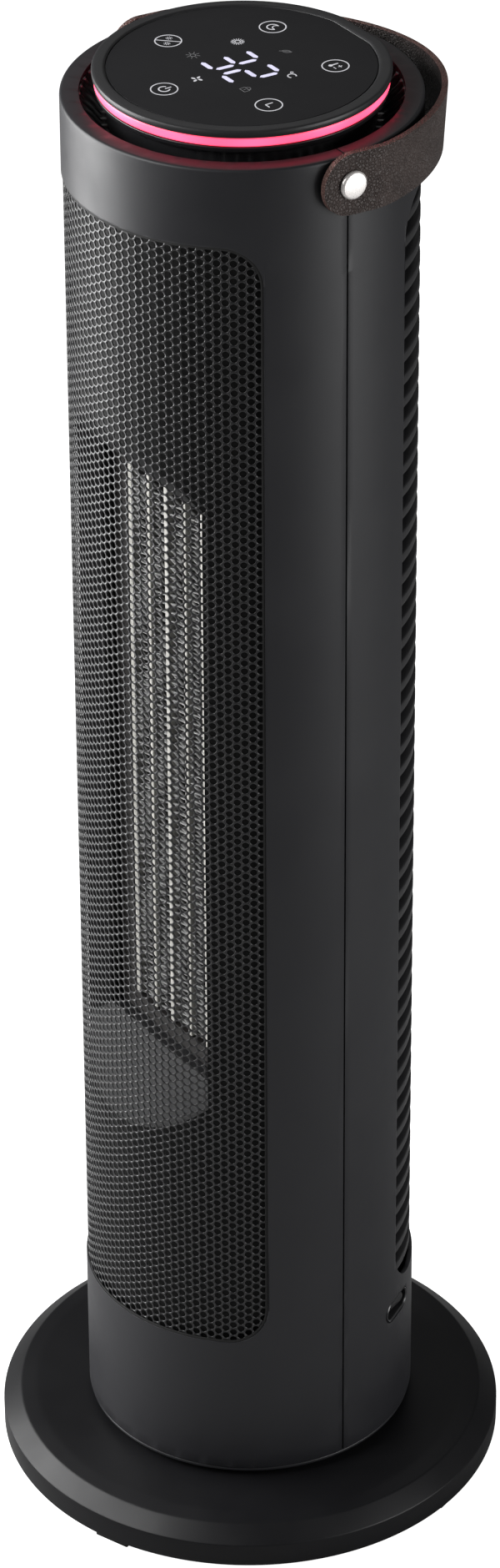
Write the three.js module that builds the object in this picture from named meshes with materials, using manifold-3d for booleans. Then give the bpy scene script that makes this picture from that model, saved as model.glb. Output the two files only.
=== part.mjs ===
// Round tower fan heater with a ceramic (PTC) element, turning on a flat round base.
// Millimetres, +Z up. The origin is on the floor at the tower's axis, and the front faces -Y.
// Angles round the tower are in degrees from the front, growing towards +X.
import * as THREE from "three";
import { mergeVertices } from "three/addons/utils/BufferGeometryUtils.js";
import Module from "manifold-3d";

const wasm = await Module();
wasm.setup();

// ---------------------------------------------------------------- driving dimensions

const GAP = 0.4; // clearance between neighbouring pieces
const ROUND_STEPS = 48; // facets round the large shells
const HIDDEN_STEPS = 24; // facets round large pieces that the shells hide
const SMALL_STEPS = 12; // facets round small turned pieces

const TOTAL_HEIGHT = 764;
const BASE_RADIUS = 126;
const BASE_TOP = 24.6; // top face of the base cover
const BASE_SHELF = 117; // radius where the base's bevel starts
const BASE_EDGE_TOP = 16.5; // top of the base's upright edge
const BASE_UNDERSIDE = 4.2;
const BASE_WALL = 2.2;
const FOOT_HEIGHT = 3.8;
const FOOT_WIDTH = 19;
const FOOT_DEPTH = 15;
const FOOT_CIRCLE = 114.5;
const FOOT_ANGLE = 21;
const SCREW_CIRCLE = 100;
const SCREW_ANGLE = 66;

const TOWER_RADIUS = 82;
const TOWER_WALL = 2.2;
const TOWER_FLOOR = 27.5; // underside of the tower's bottom plate
const SHELL_BOTTOM = 30.6;
const RIM_TOP = 752; // top of the housing's rim
const RIM_INNER = 73.3;
const RIM_THICKNESS = 2.4;

const GRILLE_LOW = 108.5; // front outlet and rear intake openings in the housing
const GRILLE_HIGH = 714;
const GRILLE_CORNER = 20;
const OUTLET_HALF_ANGLE = 62;
const INTAKE_HALF_ANGLE = 62;
const GRILLE_THICKNESS = 0.9;
const GRILLE_OUTER = TOWER_RADIUS - TOWER_WALL - GAP;

const DUCT_HALF_WIDTH = 42; // throat of the air duct in front of the element
const DUCT_LOW = 254;
const DUCT_HIGH = 569;
const DUCT_MOUTH_Y = -52; // where the throat starts to flare
const DUCT_BACK_Y = -34;
const DUCT_FLARE_X = 1.4; // growth in X and Z for each millimetre towards the front
const DUCT_FLARE_Z = 1.3;
const DUCT_WALL = 2;
const BEZEL_OUTER = 78;

const ELEMENT_FRONT_Y = -44;
const ELEMENT_DEPTH = 8;
const ELEMENT_LOW = 263;
const ELEMENT_HIGH = 561;
const BAR_PITCH = 15;
const BAR_WIDTH = 2.4;
const BAR_COUNT = 5;

const FAN_Y = 18; // the cross-flow fan's axis
const FAN_RADIUS = 30;
const FAN_LOW = 255;
const FAN_HIGH = 570;
const SHAFT_RADIUS = 3;

const PANEL_RADIUS = 67.7;
const PANEL_STEM_RADIUS = 61;
const LED_RADIUS = 66.4;
const LED_LOW = 755.7;
const LED_HIGH = 760.1;
const DECK_UNDERSIDE = 735;
const DECK_FLOOR = 738.5;
const DECK_HOLE_RADIUS = 12;

const GEAR_MODULE = 2;
const GEAR_TEETH = 30;
const PINION_TEETH = 10;
const GEAR_BACKLASH = 0.3;
const GEAR_LOW = 15.5;
const GEAR_THICKNESS = 5;
const SPINDLE_RADIUS = 24;

const HANDLE_PIVOT_Z = 739.5;
const STRAP_WIDTH = 29;
const STRAP_THICKNESS = 3;
const STRAP_INNER = TOWER_RADIUS + 0.5;
const STRAP_REACH = 98; // how far behind its pivots the strap's outer face stands
const STRAP_LEG = 14; // the straight run that clears the rim when the strap is lifted
const STRAP_BOW = 1.4; // 1 is an ellipse in plan, and more draws the strap in towards the tower
const STRAP_DROOP = 4.2; // how far the strap hangs below level at rest
const RIVET_STUD_RADIUS = 3;
const RIVET_HEAD_RADIUS = 6.8;
const RIVET_INNER_END = 76; // where the stud ends inside the housing

const SWITCH_ANGLE = 120.5;
const SWITCH_Z = 96;
const SWITCH_WIDTH = 24.8;
const SWITCH_HEIGHT = 12;
const ROCKER_REST_TILT = 8;

// ---------------------------------------------------------------- solids

const rad = THREE.MathUtils.degToRad;

function volumeOf(positions, index) {
  let six = 0;
  const corner = (i) => new THREE.Vector3().fromBufferAttribute(positions, index[i]);
  for (let i = 0; i < index.length; i += 3) {
    six += corner(i).dot(corner(i + 1).cross(corner(i + 2)));
  }
  return six / 6;
}

/** The same shape as one welded mesh, with no collapsed faces and its faces outward. */
function welded(geometry) {
  const plain = geometry.clone();
  for (const name of Object.keys(plain.attributes)) {
    if (name !== "position") {
      plain.deleteAttribute(name);
    }
  }
  const merged = mergeVertices(plain, 1e-4);
  const source = merged.index.array;
  let index = [];
  for (let i = 0; i < source.length; i += 3) {
    const [a, b, c] = source.slice(i, i + 3);
    if (a !== b && b !== c && c !== a) {
      index.push(a, b, c);
    }
  }
  if (volumeOf(merged.attributes.position, index) < 0) {
    index = index.reverse();
  }
  merged.setIndex(index);
  return merged;
}

function toSolid(geometry) {
  const merged = welded(geometry);
  return new wasm.Manifold(
    new wasm.Mesh({
      numProp: 3,
      vertProperties: new Float32Array(merged.attributes.position.array),
      triVerts: new Uint32Array(merged.index.array),
    }),
  );
}

function toGeometry(solid) {
  const mesh = solid.getMesh();
  const geometry = new THREE.BufferGeometry();
  const corners = new Float32Array(mesh.vertProperties);
  geometry.setAttribute("position", new THREE.BufferAttribute(corners, 3));
  geometry.setIndex(new THREE.BufferAttribute(new Uint32Array(mesh.triVerts), 1));
  return geometry;
}

function join(...parts) {
  return toGeometry(parts.map(toSolid).reduce((whole, next) => whole.add(next)));
}

function cut(body, ...tools) {
  return toGeometry(tools.map(toSolid).reduce((left, tool) => left.subtract(tool), toSolid(body)));
}

function common(body, tool) {
  return toGeometry(toSolid(body).intersect(toSolid(tool)));
}

/** A piece turned about +Z, from the closed outline of its section as [radius, height] corners. */
function turned(outline, steps = ROUND_STEPS) {
  const points = outline.map(([radius, height]) => new THREE.Vector2(radius, height));
  const onAxis = points[0].x === 0 && points[points.length - 1].x === 0;
  if (!onAxis) {
    points.push(points[0].clone());
  }
  return new THREE.LatheGeometry(points, steps).rotateX(Math.PI / 2);
}

function ring(inner, outer, low, high, steps = ROUND_STEPS) {
  return turned([[inner, low], [outer, low], [outer, high], [inner, high]], steps);
}

function disc(radius, low, high, steps = ROUND_STEPS) {
  return turned([[0, low], [radius, low], [radius, high], [0, high]], steps);
}

function box(low, high) {
  const size = high.map((value, axis) => value - low[axis]);
  const middle = high.map((value, axis) => (value + low[axis]) / 2);
  return new THREE.BoxGeometry(...size).translate(...middle);
}

/** A flat outline in XY, extruded upwards. */
function slab(shape, low, high, curveSegments = 12) {
  const options = { depth: high - low, bevelEnabled: false, curveSegments };
  return new THREE.ExtrudeGeometry(shape, options).translate(0, 0, low);
}

/** A flat outline in XZ, extruded from its back face towards the front. */
function upright(shape, frontY, backY, curveSegments = 12) {
  return slab(shape, 0, backY - frontY, curveSegments).rotateX(Math.PI / 2).translate(0, backY, 0);
}

function rectangle(left, bottom, right, top) {
  return new THREE.Shape([
    new THREE.Vector2(left, bottom),
    new THREE.Vector2(right, bottom),
    new THREE.Vector2(right, top),
    new THREE.Vector2(left, top),
  ]);
}

/** An outline with straight long sides and half-round ends. */
function stadium(width, height) {
  const straight = (width - height) / 2;
  const shape = new THREE.Shape();
  shape.absarc(straight, 0, height / 2, -Math.PI / 2, Math.PI / 2, false);
  shape.absarc(-straight, 0, height / 2, Math.PI / 2, Math.PI * 1.5, false);
  return shape;
}

/** A tapered block: its front rectangle and its back rectangle are [half width, low, high, y]. */
function taperedBlock([frontHalf, frontLow, frontHigh, frontY], [backHalf, backLow, backHigh, backY]) {
  const geometry = new THREE.BoxGeometry(2, 1, 1);
  const corners = geometry.attributes.position;
  for (let i = 0; i < corners.count; i += 1) {
    const isFront = corners.getZ(i) > 0;
    const half = isFront ? frontHalf : backHalf;
    const [low, high] = isFront ? [frontLow, frontHigh] : [backLow, backHigh];
    const height = corners.getY(i) > 0 ? high : low;
    corners.setXYZ(i, corners.getX(i) * half, isFront ? frontY : backY, height);
  }
  return geometry;
}

/** A plate wrapped round the tower's axis, with round corners when corner is above 0. */
function bentPlate({ inner, outer, low, high, halfAngle, middleAngle = 0, corner = 0, steps = 16 }) {
  const arcSteps = corner > 0 ? 3 : 0;
  const rise = (k) => corner * (1 - Math.cos(rad((90 * k) / arcSteps)));
  const inset = (k) => corner * (1 - Math.sin(rad((90 * k) / arcSteps)));
  const rows = [];
  for (let k = 0; k <= arcSteps; k += 1) {
    rows.push({ z: low + (arcSteps ? rise(k) : 0), inset: arcSteps ? inset(k) : 0 });
  }
  for (let k = arcSteps; k >= 0; k -= 1) {
    rows.push({ z: high - (arcSteps ? rise(k) : 0), inset: arcSteps ? inset(k) : 0 });
  }
  const geometry = new THREE.BoxGeometry(2, 1, 1, steps, rows.length - 1, 1);
  const corners = geometry.attributes.position;
  for (let i = 0; i < corners.count; i += 1) {
    const row = rows[Math.round((corners.getY(i) + 0.5) * (rows.length - 1))];
    const half = rad(halfAngle) - row.inset / TOWER_RADIUS;
    const angle = rad(middleAngle) + corners.getX(i) * half;
    const radius = corners.getZ(i) > 0 ? outer : inner;
    corners.setXYZ(i, radius * Math.sin(angle), -radius * Math.cos(angle), row.z);
  }
  return geometry;
}

/** The frame of a spot on the tower's wall: x along the wall, y up, z straight out. */
function wallFrame(angle, height, radius) {
  const out = new THREE.Vector3(Math.sin(rad(angle)), -Math.cos(rad(angle)), 0);
  const up = new THREE.Vector3(0, 0, 1);
  const along = new THREE.Vector3().crossVectors(up, out);
  const frame = new THREE.Matrix4().makeBasis(along, up, out);
  return frame.setPosition(out.clone().multiplyScalar(radius).setZ(height));
}

// ---------------------------------------------------------------- scene graph

const FINISHES = {
  housing: { color: 0x1d1d1f, roughness: 0.5, metalness: 0 },
  base: { color: 0x161618, roughness: 0.45, metalness: 0 },
  grille: { color: 0x19191b, roughness: 0.5, metalness: 0.1 },
  inner: { color: 0x0c0c0d, roughness: 0.8, metalness: 0 },
  rubber: { color: 0x111111, roughness: 0.9, metalness: 0 },
  steel: { color: 0x9b9ea3, roughness: 0.4, metalness: 0.9 },
  aluminium: { color: 0xb9bcc0, roughness: 0.35, metalness: 0.9 },
  ceramic: { color: 0xd8d2c4, roughness: 0.6, metalness: 0.1 },
  gear: { color: 0xe4e1d8, roughness: 0.5, metalness: 0 },
  board: { color: 0x1f5a36, roughness: 0.6, metalness: 0 },
  glow: { color: 0xff5f91, roughness: 0.4, metalness: 0 },
  glass: { color: 0x08080a, roughness: 0.12, metalness: 0 },
  leather: { color: 0x3e3432, roughness: 0.6, metalness: 0 },
  chrome: { color: 0xd4d5d8, roughness: 0.18, metalness: 1 },
};

function mesh(parent, name, geometry, finish) {
  const piece = new THREE.Mesh(welded(geometry), new THREE.MeshStandardMaterial(FINISHES[finish]));
  piece.name = name;
  parent.add(piece);
  return piece;
}

const heater = new THREE.Group();
const tower = new THREE.Group();
heater.add(tower);

/** Puts copies of one shape on a circle, a quarter turn apart, named NAME_1 to NAME_4. */
function fourRound(parent, name, makeGeometry, radius, firstAngle, finish) {
  for (let k = 0; k < 4; k += 1) {
    const angle = rad(firstAngle + 90 * k);
    const piece = mesh(parent, `${name}_${k + 1}`, makeGeometry(), finish);
    piece.position.set(radius * Math.sin(angle), -radius * Math.cos(angle), 0);
    piece.rotation.z = angle;
  }
}

// ---------------------------------------------------------------- base

const screwSpots = [0, 1, 2, 3].map((k) => {
  const angle = rad(SCREW_ANGLE + 90 * k);
  return [SCREW_CIRCLE * Math.sin(angle), -SCREW_CIRCLE * Math.cos(angle)];
});
const PLUNGER_SPOT = [-48, -20];
const PLUNGER_RADIUS = 2.6;
const GLAND_Z = 10.6;
const GLAND_RADIUS = 4.8;
const GLAND_BORE = 3;
const GLAND_LENGTH = 6.2;
const SCREW_SHANK_RADIUS = 1.7;
const SCREW_HEAD_RADIUS = 4;
const motorSpotY = (GEAR_MODULE * (GEAR_TEETH + PINION_TEETH)) / 2 + GEAR_BACKLASH;

function baseCover() {
  const wall = BASE_WALL;
  const shell = turned([
    [SPINDLE_RADIUS + 2, BASE_TOP - wall],
    [BASE_SHELF - 8, BASE_TOP - wall],
    [BASE_SHELF - 1.4, BASE_TOP - wall - 1.6],
    [BASE_RADIUS - wall, BASE_EDGE_TOP - 1],
    [BASE_RADIUS - wall, BASE_UNDERSIDE],
    [BASE_RADIUS, BASE_UNDERSIDE],
    [BASE_RADIUS, BASE_EDGE_TOP],
    [BASE_SHELF, BASE_TOP - 1.6],
    [BASE_SHELF - 5, BASE_TOP - 0.4],
    [BASE_SHELF - 12, BASE_TOP],
    [SPINDLE_RADIUS + 2, BASE_TOP],
  ]);
  const boss = () => ring(SCREW_SHANK_RADIUS + GAP, 4.6, 8, BASE_TOP - 1, SMALL_STEPS);
  const bosses = screwSpots.map(([x, y]) => boss().translate(x, y, 0));
  const glandHole = disc(GLAND_RADIUS + GAP, 0, 20, SMALL_STEPS)
    .rotateX(-Math.PI / 2)
    .translate(0, BASE_RADIUS - 15, GLAND_Z);
  return cut(join(shell, ...bosses), glandHole);
}

function baseBottom() {
  const plate = disc(BASE_RADIUS - BASE_WALL - 0.5, BASE_UNDERSIDE, BASE_UNDERSIDE + 2);
  const screwHole = () => disc(SCREW_SHANK_RADIUS + 0.5, 0, 20, SMALL_STEPS);
  const screwHoles = screwSpots.map(([x, y]) => screwHole().translate(x, y, 0));
  const plungerHole = disc(PLUNGER_RADIUS + 0.7, 0, 20, SMALL_STEPS).translate(...PLUNGER_SPOT, 0);
  const glandNotch = box([-7, BASE_RADIUS - 9, 0], [7, BASE_RADIUS + 9, 20]);
  return cut(plate, ...screwHoles, plungerHole, glandNotch);
}

function screw() {
  const headLow = 2.4;
  const headHigh = BASE_UNDERSIDE - GAP;
  const tip = 16.8;
  return turned([
    [0, headLow],
    [SCREW_HEAD_RADIUS - 0.8, headLow],
    [SCREW_HEAD_RADIUS, headLow + 0.6],
    [SCREW_HEAD_RADIUS, headHigh],
    [SCREW_SHANK_RADIUS, headHigh],
    [SCREW_SHANK_RADIUS, tip - 0.8],
    [0, tip],
  ], SMALL_STEPS);
}

/** A rubber pad whose straight outer edge shows just under the rim of the base. */
function foot() {
  const [halfWidth, halfDepth] = [FOOT_WIDTH / 2, FOOT_DEPTH / 2];
  return box([-halfWidth, -halfDepth, 0], [halfWidth, halfDepth, FOOT_HEIGHT]);
}

/** A flat can motor whose shaft reaches up through the pinion. */
function swingMotor() {
  const [radius, low, high] = [20, 6.6, 14.2];
  const [shaftRadius, shaftHigh] = [2.2, 20];
  return turned([
    [0, low],
    [radius, low],
    [radius, high - 1],
    [radius - 1, high],
    [shaftRadius, high],
    [shaftRadius, shaftHigh],
    [0, shaftHigh],
  ], HIDDEN_STEPS);
}

/** The bush in the rear edge that the mains lead comes out of, with a flange inside. */
function cordGland() {
  const [flangeRadius, flangeDepth] = [GLAND_RADIUS + 1, 2.4];
  return turned([
    [GLAND_BORE, 0],
    [flangeRadius, 0],
    [flangeRadius, flangeDepth],
    [GLAND_RADIUS, flangeDepth],
    [GLAND_RADIUS, GLAND_LENGTH],
    [GLAND_BORE, GLAND_LENGTH],
  ], SMALL_STEPS).rotateX(-Math.PI / 2).translate(0, BASE_RADIUS - GLAND_LENGTH - 0.2, GLAND_Z);
}

mesh(heater, "base_cover", baseCover(), "base");
mesh(heater, "base_bottom", baseBottom(), "base");
mesh(heater, "base_weight", ring(66, 92, 6.6, 12.6, HIDDEN_STEPS), "steel");
mesh(heater, "glide_ring", ring(62, 70, BASE_TOP + 0.3, TOWER_FLOOR - 0.3, HIDDEN_STEPS), "gear");
mesh(heater, "swing_motor", swingMotor(), "steel").position.set(0, motorSpotY, 0);
mesh(heater, "tip_switch", box([-9, -6, 8.5], [9, 6, 18.5]), "inner").position.set(...PLUNGER_SPOT, 0);
const plunger = disc(PLUNGER_RADIUS, 0.4, 8.1, SMALL_STEPS);
mesh(heater, "tip_plunger", plunger, "gear").position.set(...PLUNGER_SPOT, 0);
mesh(heater, "cord_gland", cordGland(), "rubber");
fourRound(heater, "foot", foot, FOOT_CIRCLE, FOOT_ANGLE, "rubber");
fourRound(heater, "base_screw", screw, SCREW_CIRCLE, SCREW_ANGLE, "steel");

// ---------------------------------------------------------------- turning gears

/** A spur gear's outline with straight-flanked teeth; a tooth is centred at angle 0. */
function gearShape(teeth, boreRadius) {
  const pitchRadius = (GEAR_MODULE * teeth) / 2;
  const tip = pitchRadius + GEAR_MODULE * 0.9;
  const root = pitchRadius - GEAR_MODULE * 1.2;
  const pitchAngle = (2 * Math.PI) / teeth;
  const shares = [[-0.32, root], [-0.13, tip], [0.13, tip], [0.32, root]];
  const points = [];
  for (let k = 0; k < teeth; k += 1) {
    for (const [share, radius] of shares) {
      const angle = (k + share) * pitchAngle;
      points.push(new THREE.Vector2(radius * Math.cos(angle), radius * Math.sin(angle)));
    }
  }
  const shape = new THREE.Shape(points);
  shape.holes.push(new THREE.Path().absarc(0, 0, boreRadius, 0, Math.PI * 2, true));
  return shape;
}

const gearTop = GEAR_LOW + GEAR_THICKNESS;
const PINION_BORE = 2.6;
const gearBore = SPINDLE_RADIUS + GAP;
mesh(tower, "swing_gear", slab(gearShape(GEAR_TEETH, gearBore), GEAR_LOW, gearTop), "gear");
const pinionShape = gearShape(PINION_TEETH, PINION_BORE);
const pinion = mesh(heater, "swing_pinion", slab(pinionShape, GEAR_LOW, gearTop), "gear");
pinion.position.set(0, motorSpotY, 0);
pinion.rotation.z = Math.PI / PINION_TEETH; // puts a tooth in the gear's space on the line of centres

// ---------------------------------------------------------------- tower shells

function towerBottom() {
  return turned([
    [SPINDLE_RADIUS - 4, GEAR_LOW - 0.5],
    [SPINDLE_RADIUS, GEAR_LOW - 0.5],
    [SPINDLE_RADIUS, TOWER_FLOOR],
    [TOWER_RADIUS - 1, TOWER_FLOOR],
    [TOWER_RADIUS, TOWER_FLOOR + 0.8],
    [TOWER_RADIUS, SHELL_BOTTOM - GAP],
    [SPINDLE_RADIUS - 4, SHELL_BOTTOM - GAP],
  ]);
}

function housingRing() {
  const inner = TOWER_RADIUS - TOWER_WALL;
  return turned([
    [inner, SHELL_BOTTOM],
    [TOWER_RADIUS, SHELL_BOTTOM],
    [TOWER_RADIUS, RIM_TOP - 1.2],
    [TOWER_RADIUS - 1, RIM_TOP],
    [RIM_INNER, RIM_TOP],
    [RIM_INNER, RIM_TOP - RIM_THICKNESS],
    [inner, RIM_TOP - RIM_THICKNESS],
  ]);
}

function grilleOpening(halfAngle, middleAngle) {
  return bentPlate({
    inner: TOWER_RADIUS - 8,
    outer: TOWER_RADIUS + 6,
    low: GRILLE_LOW,
    high: GRILLE_HIGH,
    corner: GRILLE_CORNER,
    halfAngle,
    middleAngle,
  });
}

function rivetHoles() {
  const hole = disc(RIVET_STUD_RADIUS + GAP, -100, 100, SMALL_STEPS);
  return hole.rotateY(Math.PI / 2).translate(0, 0, HANDLE_PIVOT_Z);
}

function frontHousing() {
  const half = common(housingRing(), box([-100, -100, 0], [100, -GAP, 800]));
  return cut(half, grilleOpening(OUTLET_HALF_ANGLE, 0), rivetHoles());
}

function rearHousing() {
  const half = common(housingRing(), box([-100, GAP, 0], [100, 100, 800]));
  const switchHole = slab(stadium(SWITCH_WIDTH, SWITCH_HEIGHT), -10, 10, 6)
    .applyMatrix4(wallFrame(SWITCH_ANGLE, SWITCH_Z, TOWER_RADIUS));
  return cut(half, grilleOpening(INTAKE_HALF_ANGLE, 180), rivetHoles(), switchHole);
}

/** The curved sheet behind an opening, a little larger than it all round. */
function grilleSheet(halfAngle, middleAngle) {
  return bentPlate({
    inner: GRILLE_OUTER - GRILLE_THICKNESS,
    outer: GRILLE_OUTER,
    low: GRILLE_LOW - 4.5,
    high: GRILLE_HIGH + 4.5,
    corner: GRILLE_CORNER,
    halfAngle: halfAngle + 3,
    middleAngle,
  });
}

mesh(tower, "tower_bottom", towerBottom(), "housing");
mesh(tower, "front_housing", frontHousing(), "housing");
mesh(tower, "rear_housing", rearHousing(), "housing");
mesh(tower, "front_grille", grilleSheet(OUTLET_HALF_ANGLE, 0), "grille");
mesh(tower, "rear_intake_grille", grilleSheet(INTAKE_HALF_ANGLE, 180), "grille");

// ---------------------------------------------------------------- air duct and heating element

/** The duct's inside or outside, grown on every side, from the throat out past the grille. */
function ductFlare(grow) {
  const frontY = -TOWER_RADIUS - 4;
  const reach = DUCT_MOUTH_Y - frontY;
  const front = [
    DUCT_HALF_WIDTH + grow + reach * DUCT_FLARE_X,
    DUCT_LOW - grow - reach * DUCT_FLARE_Z,
    DUCT_HIGH + grow + reach * DUCT_FLARE_Z,
    frontY,
  ];
  return taperedBlock(front, [DUCT_HALF_WIDTH + grow, DUCT_LOW - grow, DUCT_HIGH + grow, DUCT_MOUTH_Y]);
}

function ductThroat(grow, frontY, backY) {
  const half = DUCT_HALF_WIDTH + grow;
  return box([-half, frontY, DUCT_LOW - grow], [half, backY, DUCT_HIGH + grow]);
}

function ductBezel() {
  const liner = bentPlate({
    inner: BEZEL_OUTER - DUCT_WALL,
    outer: BEZEL_OUTER,
    low: GRILLE_LOW - 6,
    high: GRILLE_HIGH + 6,
    halfAngle: 70,
  });
  const funnel = common(ductFlare(DUCT_WALL), disc(BEZEL_OUTER - 0.5, 0, 900));
  const throat = ductThroat(DUCT_WALL, DUCT_MOUTH_Y - 0.5, DUCT_BACK_Y);
  const airway = join(ductFlare(0), ductThroat(0, DUCT_MOUTH_Y - 0.5, DUCT_BACK_Y + 5));
  return cut(join(liner, funnel, throat), airway);
}

function heaterFrame() {
  const half = DUCT_HALF_WIDTH - 0.5;
  const outer = rectangle(-half, DUCT_LOW + 0.5, half, DUCT_HIGH - 0.5);
  const halfWindow = (BAR_PITCH * (BAR_COUNT - 1) + BAR_WIDTH) / 2 + 0.5;
  outer.holes.push(rectangle(-halfWindow, ELEMENT_LOW - 0.5, halfWindow, ELEMENT_HIGH + 0.5));
  return upright(outer, ELEMENT_FRONT_Y - 2, ELEMENT_FRONT_Y + ELEMENT_DEPTH + 1);
}

/** A folded fin strip that zigzags between two bars all the way up. */
function finPack() {
  const thickness = 1;
  const half = (BAR_PITCH - BAR_WIDTH - thickness) / 2 - 0.3;
  const folds = 24;
  const rise = (ELEMENT_HIGH - ELEMENT_LOW - 2) / folds;
  const side = (offset) => Array.from({ length: folds + 1 }, (_, k) => {
    const x = k % 2 ? half : -half;
    return new THREE.Vector2(x + offset, ELEMENT_LOW + 1 + k * rise);
  });
  const strip = new THREE.Shape([...side(thickness / 2), ...side(-thickness / 2).reverse()]);
  return upright(strip, ELEMENT_FRONT_Y + 0.5, ELEMENT_FRONT_Y + ELEMENT_DEPTH - 0.5);
}

mesh(tower, "duct_bezel", ductBezel(), "inner");
mesh(tower, "heater_frame", heaterFrame(), "inner");
for (let k = 0; k < BAR_COUNT; k += 1) {
  const bar = box(
    [-BAR_WIDTH / 2, ELEMENT_FRONT_Y, ELEMENT_LOW],
    [BAR_WIDTH / 2, ELEMENT_FRONT_Y + ELEMENT_DEPTH, ELEMENT_HIGH],
  );
  const x = BAR_PITCH * (k - (BAR_COUNT - 1) / 2);
  mesh(tower, `ptc_bar_${k + 1}`, bar, "ceramic").position.set(x, 0, 0);
}
for (let k = 0; k < BAR_COUNT - 1; k += 1) {
  const x = BAR_PITCH * (k + 0.5 - (BAR_COUNT - 1) / 2);
  mesh(tower, `fin_pack_${k + 1}`, finPack(), "aluminium").position.set(x, 0, 0);
}
const cutout = mesh(tower, "thermal_cutout", disc(7, 0, 6, SMALL_STEPS), "steel");
cutout.position.set(0, ELEMENT_FRONT_Y + 3, DUCT_HIGH + DUCT_WALL + 0.6);

// ---------------------------------------------------------------- cross-flow fan

/** The scroll behind the fan: its distance from the fan's axis grows round the turn. */
function scrollWall() {
  const steps = 12;
  const spot = (share, offset) => {
    const angle = rad(60 + 155 * share);
    const radius = FAN_RADIUS + 4 + 12 * share + offset;
    return new THREE.Vector2(radius * Math.cos(angle), FAN_Y + radius * Math.sin(angle));
  };
  const shares = Array.from({ length: steps + 1 }, (_, k) => k / steps);
  const outside = shares.map((share) => spot(share, 1.8));
  const inside = shares.map((share) => spot(share, 0)).reverse();
  return slab(new THREE.Shape([...outside, ...inside]), FAN_LOW - 4, FAN_HIGH + 2);
}

function vortexWall() {
  const corners = [[34, -2], [36, -2], [42.4, -30], [40.4, -30]];
  const shape = new THREE.Shape(corners.map(([x, y]) => new THREE.Vector2(x, y)));
  return slab(shape, FAN_LOW - 4, FAN_HIGH + 2);
}

function impeller() {
  const blades = 10;
  const parts = [];
  for (const low of [FAN_LOW, (FAN_LOW + FAN_HIGH) / 2 - 1.2, FAN_HIGH - 2.4]) {
    parts.push(ring(SHAFT_RADIUS + 0.5, FAN_RADIUS, low, low + 2.4, HIDDEN_STEPS));
  }
  for (let k = 0; k < blades; k += 1) {
    const blade = box([FAN_RADIUS - 9, -0.5, FAN_LOW + 1], [FAN_RADIUS - 1, 0.5, FAN_HIGH - 1]);
    parts.push(blade.rotateZ((2 * Math.PI * k) / blades));
  }
  return join(...parts);
}

/** A motor with a nose on top that holds it in its bracket, and a bore that the fan's shaft fits in. */
function fanMotor() {
  const [radius, low, high] = [27, 196, 240];
  const [noseRadius, noseHigh] = [10, 245.6];
  const [boreRadius, boreLow] = [SHAFT_RADIUS + GAP, 226];
  return turned([
    [0, low],
    [radius, low],
    [radius, high],
    [noseRadius, high],
    [noseRadius, noseHigh],
    [boreRadius, noseHigh],
    [boreRadius, boreLow],
    [0, boreLow],
  ], HIDDEN_STEPS);
}

/** A round plate with its front cut straight, and a hole for the fan's shaft. */
function bracket(low, holeRadius) {
  const radius = 70;
  const chordY = DUCT_BACK_Y + 1.5;
  const edge = Math.asin(chordY / radius);
  const shape = new THREE.Shape().absarc(0, 0, radius, edge, Math.PI - edge, false);
  shape.holes.push(new THREE.Path().absarc(0, FAN_Y, holeRadius, 0, Math.PI * 2, true));
  return slab(shape, low, low + 2.4, 16);
}

mesh(tower, "scroll_wall", scrollWall(), "inner");
mesh(tower, "vortex_wall", vortexWall(), "inner");
mesh(tower, "fan_motor", fanMotor(), "steel").position.set(0, FAN_Y, 0);
mesh(tower, "motor_bracket", bracket(FAN_LOW - 8, 8), "inner");
mesh(tower, "bearing_bracket", bracket(FAN_HIGH + 3, 5), "inner");
const bearing = ring(SHAFT_RADIUS + GAP, 9, FAN_HIGH + 5.8, FAN_HIGH + 12, SMALL_STEPS);
mesh(tower, "upper_bearing", bearing, "steel").position.set(0, FAN_Y, 0);
mesh(tower, "impeller", impeller(), "inner").position.set(0, FAN_Y, 0);
const shaft = disc(SHAFT_RADIUS, 226.5, FAN_HIGH + 14, SMALL_STEPS);
mesh(tower, "impeller_shaft", shaft, "steel").position.set(0, FAN_Y, 0);
mesh(tower, "main_pcb", box([-35, 40, 70], [35, 41.6, 170]), "board");

// ---------------------------------------------------------------- top deck and touch panel

/** The sloping floor between the rim and the panel's stem, which also closes the tower. */
function topDeck() {
  const underRim = RIM_TOP - RIM_THICKNESS - GAP;
  const outer = TOWER_RADIUS - TOWER_WALL - GAP;
  return turned([
    [DECK_HOLE_RADIUS, DECK_UNDERSIDE],
    [PANEL_STEM_RADIUS + 1, DECK_UNDERSIDE],
    [outer, underRim - 3.2],
    [outer, underRim],
    [RIM_INNER - 0.3, underRim],
    [PANEL_STEM_RADIUS + 1.5, DECK_FLOOR],
    [DECK_HOLE_RADIUS, DECK_FLOOR],
  ]);
}

/** The stem under the panel, open below, flaring out to the panel's own width. */
function panelHousing() {
  const floor = LED_LOW - GAP;
  return turned([
    [PANEL_STEM_RADIUS - 2.5, DECK_FLOOR + GAP],
    [PANEL_STEM_RADIUS, DECK_FLOOR + GAP],
    [PANEL_STEM_RADIUS, floor - 5],
    [LED_RADIUS - 0.6, floor - 2.6],
    [LED_RADIUS, floor - 2],
    [LED_RADIUS, floor],
    [0, floor],
    [0, floor - 2.3],
    [PANEL_STEM_RADIUS - 2.5, floor - 2.3],
  ]);
}

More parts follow.
